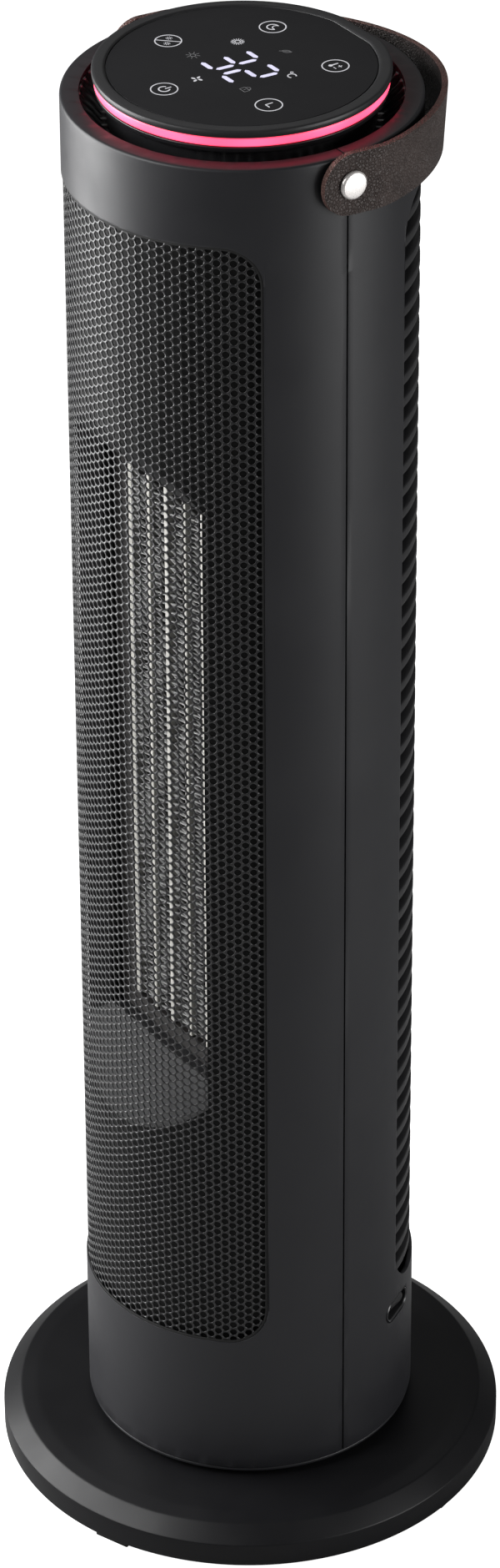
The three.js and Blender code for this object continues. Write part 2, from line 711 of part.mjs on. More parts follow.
function panelRim() {
  const low = LED_HIGH + 0.3;
  const ledge = PANEL_RADIUS - 10;
  return turned([
    [ledge, low],
    [PANEL_RADIUS - 0.8, low],
    [PANEL_RADIUS, low + 0.8],
    [PANEL_RADIUS, TOTAL_HEIGHT - 1.2],
    [PANEL_RADIUS - 1.2, TOTAL_HEIGHT],
    [PANEL_STEM_RADIUS + 0.3, TOTAL_HEIGHT],
    [PANEL_STEM_RADIUS + 0.3, TOTAL_HEIGHT - 1.8],
    [ledge, TOTAL_HEIGHT - 1.8],
  ]);
}

mesh(tower, "top_deck", topDeck(), "housing");
mesh(tower, "panel_housing", panelHousing(), "housing");
const displayBoard = disc(PANEL_STEM_RADIUS - 7, LED_LOW + 0.5, LED_LOW + 2.1, HIDDEN_STEPS);
mesh(tower, "display_pcb", displayBoard, "board");
mesh(tower, "led_ring", ring(PANEL_STEM_RADIUS + 0.5, LED_RADIUS, LED_LOW, LED_HIGH), "glow");
mesh(tower, "panel_rim", panelRim(), "housing");
const glass = disc(PANEL_STEM_RADIUS - 0.1, TOTAL_HEIGHT - 1.4, TOTAL_HEIGHT - 0.3);
mesh(tower, "touch_glass", glass, "glass");

// ---------------------------------------------------------------- power switch

/** The oval tub that the rocker sits in, flush with the tower's wall and open to the outside. */
function switchBody() {
  const outside = slab(stadium(SWITCH_WIDTH - 2 * GAP, SWITCH_HEIGHT - 2 * GAP), -10, 0, 6);
  const pocket = slab(stadium(SWITCH_WIDTH - 3.2, SWITCH_HEIGHT - 3.2), -8.4, 5, 6);
  return cut(outside, pocket);
}

function rocker() {
  return slab(stadium(SWITCH_WIDTH - 5.8, SWITCH_HEIGHT - 4.4), -2, 2.4, 6);
}

const switchOut = TOWER_RADIUS - 1.4;
const switchFrame = wallFrame(SWITCH_ANGLE, SWITCH_Z, switchOut);
mesh(tower, "switch_body", switchBody(), "inner").applyMatrix4(switchFrame);
const rockerMesh = mesh(tower, "power_rocker", rocker(), "housing");
rockerMesh.rotation.y = rad(-ROCKER_REST_TILT);
rockerMesh.updateMatrix();
rockerMesh.applyMatrix4(wallFrame(SWITCH_ANGLE, SWITCH_Z, switchOut - 3.8));

// ---------------------------------------------------------------- carrying strap

/** Half of the strap's plan outline, from its right leg round the back to its left leg. */
function strapBend(halfWidth, reach) {
  const steps = 24;
  return Array.from({ length: steps + 1 }, (_, k) => {
    const turn = (Math.PI * k) / steps;
    const back = (reach - STRAP_LEG) * Math.sin(turn) ** STRAP_BOW;
    return new THREE.Vector2(halfWidth * Math.cos(turn), STRAP_LEG + back);
  });
}

/** A strap bent to a U round the back of the tower, with round ends at its rivets. */
function handleStrap() {
  const inner = STRAP_INNER;
  const outer = STRAP_INNER + STRAP_THICKNESS;
  const half = STRAP_WIDTH / 2;
  const outline = new THREE.Shape([
    new THREE.Vector2(outer, -half),
    ...strapBend(outer, STRAP_REACH),
    new THREE.Vector2(-outer, -half),
    new THREE.Vector2(-inner, -half),
    ...strapBend(inner, STRAP_REACH - STRAP_THICKNESS).reverse(),
    new THREE.Vector2(inner, -half),
  ]);
  const side = new THREE.Shape();
  side.absarc(0, 0, half, Math.PI / 2, Math.PI * 1.5, false);
  side.lineTo(120, -half);
  side.lineTo(120, half);
  const sideways = new THREE.Matrix4().makeBasis(
    new THREE.Vector3(0, 1, 0),
    new THREE.Vector3(0, 0, 1),
    new THREE.Vector3(1, 0, 0),
  );
  const roundEnds = slab(side, -100, 100, 8).applyMatrix4(sideways);
  const holes = disc(RIVET_STUD_RADIUS + 0.6, -100, 100, SMALL_STEPS).rotateY(Math.PI / 2);
  const level = cut(common(slab(outline, -half, half), roundEnds), holes);
  return level.rotateX(-rad(STRAP_DROOP)).translate(0, 0, HANDLE_PIVOT_Z);
}

/** A rivet lying along +X: its stud goes through the strap and the housing. */
function rivet() {
  const head = STRAP_INNER + STRAP_THICKNESS + GAP;
  return turned([
    [0, RIVET_INNER_END],
    [RIVET_STUD_RADIUS, RIVET_INNER_END],
    [RIVET_STUD_RADIUS, head],
    [RIVET_HEAD_RADIUS, head],
    [RIVET_HEAD_RADIUS, head + 1],
    [RIVET_HEAD_RADIUS - 1.2, head + 2],
    [0, head + 2.4],
  ], SMALL_STEPS).rotateY(Math.PI / 2);
}

mesh(tower, "rivet_right", rivet(), "chrome").position.set(0, 0, HANDLE_PIVOT_Z);
const leftRivet = mesh(tower, "rivet_left", rivet(), "chrome");
leftRivet.position.set(0, 0, HANDLE_PIVOT_Z);
leftRivet.rotation.z = Math.PI;
mesh(tower, "handle_strap", handleStrap(), "leather");

export default heater;
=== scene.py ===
"""The looks of a round tower heater: smooth shells, perforated front, louvred rear, lit touch panel and
leather strap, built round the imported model. Lengths are in millimetres until a mesh is made, and in
metres for the camera and lamps; angles round the tower are in degrees from its front (-Y), growing
towards +X."""

import math

import bmesh
import bpy
from mathutils import Matrix, Vector


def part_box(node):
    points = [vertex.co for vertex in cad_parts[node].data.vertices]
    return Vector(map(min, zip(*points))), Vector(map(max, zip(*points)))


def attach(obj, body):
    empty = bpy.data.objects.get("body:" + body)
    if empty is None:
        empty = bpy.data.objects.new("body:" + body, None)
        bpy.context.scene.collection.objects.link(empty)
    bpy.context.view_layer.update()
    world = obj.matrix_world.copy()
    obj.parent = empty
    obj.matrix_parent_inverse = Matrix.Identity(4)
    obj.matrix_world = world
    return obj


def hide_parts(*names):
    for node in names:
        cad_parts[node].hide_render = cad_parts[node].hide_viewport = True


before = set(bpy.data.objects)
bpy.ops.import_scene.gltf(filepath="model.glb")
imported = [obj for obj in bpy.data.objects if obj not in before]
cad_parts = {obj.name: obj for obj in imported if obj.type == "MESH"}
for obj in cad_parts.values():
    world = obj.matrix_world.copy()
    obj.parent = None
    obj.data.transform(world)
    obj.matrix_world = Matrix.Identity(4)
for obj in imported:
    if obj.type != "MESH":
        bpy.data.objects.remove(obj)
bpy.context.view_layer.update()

MM = 0.001


def add_object(name, data):
    made = bpy.data.objects.new(name, data)
    bpy.context.scene.collection.objects.link(made)
    return made


def node_box(node):
    """A CAD node's lowest and highest corner in millimetres."""
    low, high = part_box(node)
    return low / MM, high / MM


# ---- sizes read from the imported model

(_, _, SHELL_BOTTOM), (TOWER_R, _, RIM_TOP) = node_box("front_housing")
(_, _, SHEET_LOW), (_, _, SHEET_HIGH) = node_box("front_grille")
(_, _, BASE_UNDERSIDE), (BASE_R, _, BASE_TOP) = node_box("base_cover")
PANEL_R, _, PANEL_TOP = node_box("panel_rim")[1]
(_, _, GLASS_LOW), (GLASS_R, _, GLASS_TOP) = node_box("touch_glass")
(_, _, LED_LOW), (LED_R, _, LED_HIGH) = node_box("led_ring")
STRAP_OUTER = node_box("handle_strap")[1].x
PIVOT_Z = sum(corner.z for corner in node_box("rivet_right")) / 2

# ---- sizes of the finer shapes

FULL_TURN = 192  # facets round a large turned piece
WALL = 2.2
SEAM = 0.8
COLUMN_STEP = 3.5  # the widest facet along the housing's wall
RIM_SHOULDER = 6  # the plain wall ends this far below the rim's top
SHEET_MARGIN = 4.5  # how far the sheets behind an opening reach past its edge
OPENING_LOW = SHEET_LOW + SHEET_MARGIN
OPENING_HIGH = SHEET_HIGH - SHEET_MARGIN
OPENING_CORNER = 20
OUTLET_HALF_ANGLE = 62
INTAKE_HALF_ANGLE = 62
RIM_INNER = 73.3
HOLE_PITCH = 4.33
HOLE_R = 1.8
HOLE_SHIFT = -0.5  # how far the pattern of holes stands off the middle of the front
SHEET_THICKNESS = 0.45
GRILLE_R = TOWER_R - 0.8  # the perforated sheet sits just behind the housing's skin
EDGE_STRIP = 0.9  # a narrow strip round the opening that keeps the shading of its edge to itself
# The black strip round the front opening is painted shadow for the gap between the housing's edge and the
# sheet.
SHADOW_STRIP_LIP = 1.3  # how far the painted shadow strip shows inside the opening
SHADOW_STRIP_COVER = 1.5  # how far it reaches behind the housing
SHADOW_STRIP_R = TOWER_R - 0.45
SHADOW_STRIP_THICKNESS = 0.25
REBATE_SHARE = 0.2  # what is left of the wall where a sheet tucks behind it
LOUVRE_R = TOWER_R - 1.6
LOUVRE_PITCH = 11.7
LOUVRE_DEPTH = 7.5
LOUVRE_RIBS = (-62.5, -31, 0, 31, 62.5)
BASE_HOLE_R = 26
BASE_DECK_R = 109  # the flat top reaches this far, then the cover slopes down to its upright edge
BASE_SLOPE = (117, 23.4)
BASE_EDGE_TOP = 16.5
SPINDLE_R = 24
SHADOW_GAP_TOP = 27.5  # the tower stands this high, over a dark gap
FUNNEL_RIBS = 60
FUNNEL_STEPS = 960
FUNNEL_RIB_HEIGHT = 1.5
FUNNEL_FLOOR = 738.5
FUNNEL_UNDERSIDE = 735
DECK_DROP = 2.8  # from the housing's rim down to the deck
DECK_R = 79.3
STEM_R = 61
STEM_WALL = 2.5
PANEL_FLAT_HALF_ANGLE = 13.125
FIN_FOLD = 2.4
FIN_THICKNESS = 0.55
BAR_SWELL = 0.35
STRAP_THICKNESS = 3
STRAP_WIDTH = 29.9
STRAP_REACH = 97.5
STRAP_LEG = 14
STRAP_BOW = 1.4
STRAP_DROOP = 4.2
RIVET_R = 6.8
RIVET_SHANK_R = 3
RIVET_TAIL = 76
FOOT_WIDTH = 19
FOOT_DEPTH = 15
FOOT_BULGE = 0.9  # the rubber is pressed outwards a little
SWITCH_ANGLE = 120.5
SWITCH_Z = 96
SWITCH_WIDTH = 24.8
SWITCH_HEIGHT = 12
SWITCH_LIP = 3.2
ROCKER_TILT = 8
LED_LAMPS = 12
DUCT_PAINTED_SHADE_R = 76.5  # within this radius the duct's slopes are grey; beyond it, close behind the sheet, painted shade makes it near-black

# ---- camera

# The view looks at the front's right side, from above, through a long lens.
CAMERA_AZIMUTH = math.radians(55.6)
CAMERA_ELEVATION = math.radians(32.47)
CAMERA_ROLL = math.radians(-0.345)
CAMERA_DISTANCE = 2.9266
CAMERA_TARGET_RIGHT = 0.0015
CAMERA_TARGET_Z = 0.3837
CAMERA_LENS = 140.1
CAMERA_SHIFT = (0.0003, -0.0006)


def make_camera():
    data = bpy.data.cameras.new("camera")
    data.sensor_width = 36
    data.lens = CAMERA_LENS
    data.shift_x, data.shift_y = CAMERA_SHIFT
    data.clip_start = 0.1
    data.clip_end = 100
    camera = add_object("camera", data)
    level = Vector((math.cos(CAMERA_AZIMUTH), math.sin(CAMERA_AZIMUTH), 0))
    back = Vector((
        math.sin(CAMERA_AZIMUTH) * math.cos(CAMERA_ELEVATION),
        -math.cos(CAMERA_AZIMUTH) * math.cos(CAMERA_ELEVATION),
        math.sin(CAMERA_ELEVATION),
    ))
    upward = back.cross(level)
    right = level * math.cos(CAMERA_ROLL) + upward * math.sin(CAMERA_ROLL)
    up = back.cross(right)
    place = level * CAMERA_TARGET_RIGHT + Vector((0, 0, CAMERA_TARGET_Z)) + back * CAMERA_DISTANCE
    camera.matrix_world = Matrix.Translation(place) @ Matrix((right, up, back)).transposed().to_4x4()
    bpy.context.scene.camera = camera


# ---- materials


class Nodes:
    """The node tree of a new material or world, with its shader at hand."""

    def __init__(self, name, kind="materials", shader="Principled BSDF"):
        self.owner = getattr(bpy.data, kind).new(name)
        self.owner.use_nodes = True
        self.tree = self.owner.node_tree
        self.shader = self.tree.nodes[shader]

    def add(self, kind, **settings):
        node = self.tree.nodes.new(kind)
        for name, value in settings.items():
            if name in node.inputs:
                node.inputs[name].default_value = value
            else:
                setattr(node, name, value)
        return node

    def link(self, source, target):
        self.tree.links.new(source, target)

    def feed(self, name, source):
        self.link(source, self.shader.inputs[name])

    def constant(self, **values):
        for name, value in values.items():
            self.shader.inputs[name.replace("_", " ")].default_value = value

    def where(self, scale=(1, 1, 1)):
        """The place on the part, in its own frame, stretched by scale."""
        coordinates = self.add("ShaderNodeTexCoord")
        mapping = self.add("ShaderNodeMapping", Scale=scale)
        self.link(coordinates.outputs["Object"], mapping.inputs["Vector"])
        return mapping.outputs["Vector"]

    def along(self):
        """The place on the part as separate X, Y and Z, in metres."""
        split = self.add("ShaderNodeSeparateXYZ")
        self.link(self.where(), split.inputs["Vector"])
        return split.outputs

    def noise(self, scale, detail=3, roughness=0.55, stretch=(1, 1, 1)):
        node = self.add("ShaderNodeTexNoise", Scale=scale, Detail=detail, Roughness=roughness)
        self.link(self.where(stretch), node.inputs["Vector"])
        return node.outputs["Fac"]

    def ramp(self, fac, stops):
        """A value or colour between stops, each (place, colour)."""
        node = self.add("ShaderNodeValToRGB")
        while len(node.color_ramp.elements) < len(stops):
            node.color_ramp.elements.new(0.5)
        for element, (place, colour) in zip(node.color_ramp.elements, stops):
            element.position = place
            element.color = colour if len(colour) == 4 else (*colour, 1)
        self.link(fac, node.inputs["Fac"])
        return node.outputs["Color"]

    def remap(self, value, start, end, low=0, high=1):
        """value, going from start to end, as one that goes from low to high."""
        node = self.add("ShaderNodeMapRange")
        for name, limit in (("From Min", start), ("From Max", end), ("To Min", low), ("To Max", high)):
            node.inputs[name].default_value = limit
        self.link(value, node.inputs["Value"])
        return node.outputs["Result"]

    def spread(self, fac, low, high):
        """fac, which is about 0.3 to 0.7 on a noise, stretched to low..high."""
        return self.remap(fac, 0.3, 0.7, low, high)

    def calculate(self, operation, *inputs, kind="ShaderNodeMath", result="Value"):
        """The result of an operation on inputs that are other nodes' outputs or numbers."""
        node = self.add(kind, operation=operation)
        for socket, value in zip(node.inputs, inputs):
            if isinstance(value, (int, float)):
                socket.default_value = value
            else:
                self.link(value, socket)
        return node.outputs[result]

    def vector(self, operation, *inputs, result="Vector"):
        return self.calculate(operation, *inputs, kind="ShaderNodeVectorMath", result=result)

    def bump(self, height, strength, distance=0.0002):
        node = self.add("ShaderNodeBump", Strength=strength, Distance=distance)
        self.link(height, node.inputs["Height"])
        self.feed("Normal", node.outputs["Normal"])


def plastic(name, dark, light, roughness, grain=1500, bump=0.12, specular=0.35):
    """Moulded plastic: fine spark-eroded grain, and slow drifts of tone and gloss."""
    nodes = Nodes(name)
    nodes.feed("Base Color", nodes.ramp(nodes.noise(9, 4), [(0.3, dark), (0.7, light)]))
    nodes.feed("Roughness", nodes.spread(nodes.noise(35, 3), roughness - 0.04, roughness + 0.05))
    nodes.bump(nodes.noise(grain, 2), bump, 0.0001)
    nodes.constant(Specular_IOR_Level=specular)
    return nodes.owner


def powder_coat(name):
    nodes = Nodes(name)
    tone = nodes.ramp(nodes.noise(14, 3), [(0.3, (0.006, 0.006, 0.0066)), (0.7, (0.009, 0.009, 0.0098))])
    nodes.feed("Base Color", tone)
    nodes.constant(Roughness=0.34, Specular_IOR_Level=0.58)
    return nodes.owner


def leather(name, dark, light, roughness):
    """Pebbled grain from cells, with creases, and worn lighter patches."""
    nodes = Nodes(name)
    nodes.feed("Base Color", nodes.ramp(nodes.noise(60, 5, 0.6), [(0.32, dark), (0.7, light)]))
    cells = nodes.add("ShaderNodeTexVoronoi", Scale=620, feature="DISTANCE_TO_EDGE", Randomness=1)
    wobble = nodes.add("ShaderNodeTexNoise", Scale=260, Detail=2)
    nodes.link(nodes.where((1, 1, 0.8)), wobble.inputs["Vector"])
    scaled = nodes.add("ShaderNodeVectorMath", operation="SCALE", Scale=0.0016)
    nodes.link(wobble.outputs["Color"], scaled.inputs[0])
    warped = nodes.vector("ADD", nodes.where(), scaled.outputs["Vector"])
    nodes.link(warped, cells.inputs["Vector"])
    pebbles = nodes.ramp(cells.outputs["Distance"], [(0.0, (0, 0, 0)), (0.22, (1, 1, 1))])
    creases = nodes.noise(420, 4, 0.6, (1, 1, 2.2))
    nodes.bump(nodes.calculate("MULTIPLY_ADD", creases, 0.9, pebbles), 0.9, 0.0005)
    nodes.feed("Roughness", nodes.spread(creases, roughness - 0.06, roughness + 0.1))
    nodes.constant(Specular_IOR_Level=0.4)
    return nodes.owner


def duct_plastic_painted_shade(name):
    """Near-black where it lies close behind the sheet, as painted shade, and a lighter grey further in, down
    its slopes.
    """
    nodes = Nodes(name)
    place = nodes.along()
    flat = nodes.add("ShaderNodeCombineXYZ")
    nodes.link(place["X"], flat.inputs["X"])
    nodes.link(place["Y"], flat.inputs["Y"])
    radius = nodes.vector("LENGTH", flat.outputs["Vector"], result="Value")
    behind_sheet_shade = nodes.remap(radius, DUCT_PAINTED_SHADE_R * MM, (DUCT_PAINTED_SHADE_R + 1) * MM)
    grey = nodes.ramp(nodes.noise(40, 4), [(0.3, (0.008, 0.008, 0.009)), (0.7, (0.013, 0.013, 0.014))])
    # painted shade: near-black beyond the radius, close behind the sheet; grey within it
    mix = nodes.add("ShaderNodeMix", data_type="RGBA")
    nodes.link(behind_sheet_shade, mix.inputs["Factor"])
    nodes.link(grey, mix.inputs["A"])
    mix.inputs["B"].default_value = (0.003, 0.003, 0.003, 1)
    nodes.feed("Base Color", mix.outputs["Result"])
    nodes.bump(nodes.noise(900, 2), 0.1, 0.0001)
    nodes.constant(Roughness=0.6, Specular_IOR_Level=0.25)
    return nodes.owner


def metal(name, colour, roughness, brushed=(1, 1, 1), bump=0.05, metallic=1.0, scale=600, worn=0.86):
    nodes = Nodes(name)
    streaks = nodes.noise(scale, 3, 0.6, brushed)
    nodes.feed("Base Color", nodes.ramp(streaks, [(0.3, [c * worn for c in colour]), (0.7, colour)]))
    nodes.feed("Roughness", nodes.spread(streaks, roughness * 0.8, roughness * 1.2))
    nodes.bump(streaks, bump, 0.00005)
    nodes.constant(Metallic=metallic)
    return nodes.owner


def woven_net(name, pitch):
    """A fine black net: threads crossing along the wall and up it, with dark gaps between them."""
    nodes = Nodes(name)
    scale = 2 * math.pi / (20 * pitch * MM)  # the wave texture counts 20 radians to a unit
    waves = []
    for axis in ("X", "Z"):
        wave = nodes.add("ShaderNodeTexWave", bands_direction=axis, Scale=scale, Distortion=0.6)
        nodes.link(nodes.where(), wave.inputs["Vector"])
        waves.append(wave.outputs["Fac"])
    weave = nodes.calculate("MAXIMUM", *waves)
    nodes.feed("Base Color", nodes.ramp(weave, [(0.5, [0.0015] * 3), (0.9, [0.007] * 3)]))
    nodes.bump(weave, 0.3, 0.0001)
    nodes.constant(Roughness=0.8, Specular_IOR_Level=0.2)
    return nodes.owner


def fin_metal_painted_shade(name):
    """Bright at the fins' front edges, and darkened deeper in: painted shade for the narrow gaps between the
    folds.
    """
    nodes = Nodes(name)
    front = node_box("fin_pack_1")[0].y
    depth = nodes.remap(nodes.along()["Y"], (front + 0.3) * MM, (front + 1.6) * MM)
    # painted shade: the fins' colour darkens with depth behind their front edges
    nodes.feed("Base Color", nodes.ramp(depth, [(0.0, [0.66] * 3), (1.0, (0.035, 0.034, 0.032))]))
    nodes.bump(nodes.noise(900, 2), 0.05, 0.00005)
    nodes.constant(Metallic=0.55, Roughness=0.42)
    return nodes.owner


def light_ring(name):
    """A diffusing ring lit from inside, a little paler where the lamps sit behind it."""
    nodes = Nodes(name)
    place = nodes.along()
    turn = nodes.calculate("ARCTAN2", place["Y"], place["X"])
    wave = nodes.calculate("COSINE", nodes.calculate("MULTIPLY", turn, LED_LAMPS))
    spots = nodes.remap(wave, -1, 1)
    height = nodes.remap(place["Z"], LED_LOW * MM, LED_HIGH * MM)
    lit = nodes.ramp(spots, [(0.0, (1, 0.036, 0.09)), (1.0, (1, 0.05, 0.12))])
    edges = nodes.ramp(height, [(0.0, [0.25] * 3), (0.2, [1] * 3), (0.8, [1] * 3), (1.0, [0.3] * 3)])
    glow = nodes.add("ShaderNodeMix", data_type="RGBA", blend_type="MULTIPLY")
    glow.inputs["Factor"].default_value = 1.0
    nodes.link(lit, glow.inputs["A"])
    nodes.link(edges, glow.inputs["B"])
    nodes.feed("Emission Color", glow.outputs["Result"])
    nodes.constant(Base_Color=(0.6, 0.1, 0.16, 1), Roughness=0.4, Emission_Strength=3.0)
    return nodes.owner


def lamp_print(name, colour, strength):
    """Symbols lit from behind the glass, slightly uneven as such prints are; the same faint glow on unlit
    symbols is painted light.
    """
    nodes = Nodes(name)
    shade = nodes.ramp(nodes.noise(220, 2), [(0.3, [c * 0.85 for c in colour]), (0.7, colour)])
    nodes.feed("Emission Color", shade)
    nodes.constant(Base_Color=(0.05, 0.05, 0.05, 1), Roughness=0.4, Emission_Strength=strength)
    return nodes.owner


def make_materials():
    return {
        "housing": plastic("housing_plastic", (0.0112, 0.0113, 0.0132), (0.0142, 0.0143, 0.0163), 0.44),
        "base": plastic("base_plastic", (0.0035, 0.0035, 0.0041), (0.005, 0.005, 0.0057), 0.4, specular=0.2),
        "deck": plastic("deck_plastic", (0.008, 0.008, 0.009), (0.012, 0.012, 0.013), 0.3, 800, 0.05, 0.7),
        "rim": plastic("panel_rim_plastic", (0.013, 0.013, 0.014), (0.017, 0.017, 0.018), 0.42),
        "inner": plastic("inner_plastic", (0.006, 0.006, 0.006), (0.01, 0.01, 0.01), 0.6, 900, 0.1, 0.3),
        "frame": plastic("frame_resin", (0.012, 0.0105, 0.01), (0.018, 0.016, 0.0155), 0.5, 900, 0.1, 0.3),
        "intake": plastic("intake_plastic", (0.008, 0.008, 0.009), (0.012, 0.012, 0.013), 0.45),
        "rubber": plastic("foot_rubber", (0.008, 0.008, 0.008), (0.014, 0.014, 0.014), 0.8, 700, 0.3, 0.3),
        "glass": plastic("panel_glass", (0.0098, 0.0098, 0.0108), (0.0118, 0.0118, 0.0129), 0.45,
                         400, 0.01, 0.12),
        "acetal": plastic("gear_acetal", (0.62, 0.6, 0.54), (0.72, 0.7, 0.64), 0.45, 900, 0.05, 0.4),
        "board": plastic("circuit_board", (0.01, 0.08, 0.03), (0.02, 0.13, 0.05), 0.5, 500, 0.1, 0.4),
        "grille": powder_coat("grille_powder_coat"),
        "strap": leather("strap_leather", (0.028, 0.019, 0.0165), (0.052, 0.037, 0.033), 0.5),
        "strap_inside": leather("strap_flesh_side", (0.012, 0.0085, 0.0075), (0.022, 0.0155, 0.014), 0.68),
        "strap_edge": leather("strap_cut_edge", (0.07, 0.036, 0.03), (0.13, 0.07, 0.06), 0.55),
        "chrome": metal("rivet_chrome", (0.72, 0.69, 0.67), 0.3, (1, 1, 1), 0.01, 0.5, 2500, 0.96),
        "steel": metal("zinc_steel", (0.5, 0.5, 0.52), 0.38, (1, 1, 5)),
        "fins": fin_metal_painted_shade("fin_aluminium_painted_shade"),
        "bars": metal("element_bar_alloy", (0.5, 0.49, 0.455), 0.5, (1, 1, 0.2), 0.05, 0.2),
        "duct": duct_plastic_painted_shade("duct_plastic_painted_shade"),
        "net": woven_net("dust_net", 1.0966),
        "led": light_ring("light_ring_glow"),
        "digits": lamp_print("digit_light", (0.78, 0.76, 1.0), 1.05),
        "symbols": lamp_print("symbol_light", (0.7, 0.7, 0.74), 0.9),
        # the unlit symbols glow faintly though no lamp lights them: painted light
        "dim": lamp_print("unlit_symbol_painted_glow", (0.16, 0.16, 0.17), 0.6),
    }


# ---- mesh helpers


def mesh_object(name, verts, faces):
    """An object from corners in millimetres, as they are."""
    mesh = bpy.data.meshes.new(name)
    mesh.from_pydata([(x * MM, y * MM, z * MM) for x, y, z in verts], [], faces)
    return add_object(name, mesh)


def piece(name, verts, faces, body, material, replaces=(), slot=None, sharp=38):
    """A mesh object, welded, facing outward, and riding on a body."""
    made = mesh_object(name, verts, faces)
    mesh = made.data
    work = bmesh.new()
    work.from_mesh(mesh)
    bmesh.ops.remove_doubles(work, verts=work.verts, dist=1e-6)
    bmesh.ops.recalc_face_normals(work, faces=work.faces)
    work.to_mesh(mesh)
    work.free()
    mesh.shade_smooth()
    mesh.set_sharp_from_angle(angle=math.radians(sharp))
    mesh.materials.append(MATERIALS[material])
    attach(made, body)
    if replaces:
        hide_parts(*replaces)
    return made


def bake_modifiers(made, sharp=38):
    """Puts the modifiers' result in the object's own mesh."""
    graph = bpy.context.evaluated_depsgraph_get()
    mesh = bpy.data.meshes.new_from_object(made.evaluated_get(graph))
    made.modifiers.clear()
    made.data = mesh
    mesh.shade_smooth()
    mesh.set_sharp_from_angle(angle=math.radians(sharp))


def soften(made, width, segments=3, angle=45):
    bevel = made.modifiers.new("soft_edges", "BEVEL")
    bevel.width = width * MM
    bevel.segments = segments
    bevel.limit_method = "ANGLE"
    bevel.angle_limit = math.radians(angle)
    bevel.harden_normals = True


def thicken(made, thickness):
    """Gives an open surface its wall, grown inwards from its outer side."""
    wall = made.modifiers.new("wall", "SOLIDIFY")
    wall.thickness = thickness * MM
    wall.offset = -1
    wall.use_even_offset = True
    return wall


def evenly(start, end, count):
    return [start + (end - start) * k / count for k in range(count + 1)]


def spaced(start, end, step):
    """Even places from start to end, no further apart than step."""
    return evenly(start, end, max(1, math.ceil((end - start) / step)))


def rounded(corners, steps=4, closed=True):
    """An outline whose corners are (x, y) or, where rounded off, (x, y, radius)."""
    outline = []
    count = len(corners)
    for k, corner in enumerate(corners):
        here = Vector(corner[:2])
        ends = not closed and k in (0, count - 1)
        if len(corner) < 3 or ends:
            outline.append(tuple(here))
            continue
        before = Vector(corners[k - 1][:2]) - here
        after = Vector(corners[(k + 1) % count][:2]) - here
        start = here + before.normalized() * corner[2]
        end = here + after.normalized() * corner[2]
        for t in evenly(0, 1, steps):
            point = start * (1 - t) ** 2 + here * 2 * t * (1 - t) + end * t ** 2
            outline.append(tuple(point))
    return outline


def on_circle(centre, radius, angle):
    return (centre[0] + radius * math.cos(angle), centre[1] + radius * math.sin(angle))


def around(radius, degrees, z):
    angle = math.radians(degrees)
    return (radius * math.sin(angle), -radius * math.cos(angle), z)


def turned(outline, steps=FULL_TURN):
    """The corners and faces of an outline of (radius, height) turned about the tower's axis."""
    count = len(outline)
    verts = [around(r, 360 * k / steps, z) for k in range(steps) for r, z in outline]
    faces = []
    on_axis = outline[0][0] == 0 and outline[-1][0] == 0
    for k in range(steps):
        here, there = k * count, (k + 1) % steps * count
        for i in range(count - 1 if on_axis else count):
            j = (i + 1) % count
            corners = [here + i, there + i, there + j, here + j]
            if outline[i][0] == 0:
                corners = [here + i, there + j, here + j]
            elif outline[j][0] == 0:
                corners = [here + i, there + i, here + j]
            faces.append(corners)
    return verts, faces


def ring_faces(rings, count, joined=False):
    """Faces between closed rings of count corners each; joined when the last ring meets the first."""
    faces = []
    for ring in range(rings if joined else rings - 1):
        here, there = ring * count, (ring + 1) % rings * count
        for k in range(count):
            j = (k + 1) % count
            faces.append([here + k, here + j, there + j, there + k])
    return faces


def end_faces(rings, count):
    """The two caps of closed rings of count corners each."""
    return [list(range(count))[::-1], [(rings - 1) * count + k for k in range(count)]]


def flat_at_back(shape):
    """The panel's round edge has a short straight part at the rear."""
    half = math.radians(PANEL_FLAT_HALF_ANGLE)
    verts, faces = shape
    flattened = []
    for x, y, z in verts:
        angle = math.atan2(x, y)
        scale = math.cos(half) / math.cos(angle) if abs(angle) < half else 1
        flattened.append((x * scale, y * scale, z))
    return flattened, faces


def moved(shape, matrix):
    verts, faces = shape
    return [tuple(matrix @ Vector(v)) for v in verts], faces


def wall_frame(degrees, z, radius):
    """The frame of a spot on the wall: x along the wall, y up, z straight out."""
    out = Vector(around(1, degrees, 0))
    up = Vector((0, 0, 1))
    along = up.cross(out)
    place = out * radius + up * z
    return Matrix.Translation(place) @ Matrix((along, up, out)).transposed().to_4x4()


def prism(outline, low, high):
    """A flat outline of (x, y) drawn up from low to high."""
    count = len(outline)
    verts = [(x, y, z) for z in (low, high) for x, y in outline]
    return verts, end_faces(2, count) + ring_faces(2, count)


def gather(parts):
    """Several (corners, faces) as one."""
    verts, faces = [], []
    for part_verts, part_faces in parts:
        start = len(verts)
        verts += part_verts
        faces += [[start + i for i in face] for face in part_faces]
    return verts, faces


def oval(width, height, steps=14):
    """An outline with straight long sides and half-round ends."""
    reach, r = (width - height) / 2, height / 2
    ends = []
    for side in (1, -1):
        for angle in evenly(-math.pi / 2, math.pi / 2, steps):
            ends.append((side * (reach + r * math.cos(angle)), side * r * math.sin(angle)))
    return ends


# ---- housing


def opening_columns(half_angle):
    """Columns along half of a housing shell, from its middle to the seam: where each stands along the
    wall, and how far the opening's rounded corner has risen there."""
    edge = math.radians(half_angle) * TOWER_R
    seam = math.pi / 2 * TOWER_R - SEAM / 2
    flat = edge - OPENING_CORNER
    columns = [(s, 0) for s in spaced(0, flat, COLUMN_STEP)]
    for turn in evenly(0, math.pi / 2, 10)[1:]:
        columns.append((flat + OPENING_CORNER * math.sin(turn), OPENING_CORNER * (1 - math.cos(turn))))
    columns += [(s, OPENING_CORNER) for s in spaced(edge + EDGE_STRIP, seam, COLUMN_STEP)]
    return columns, edge


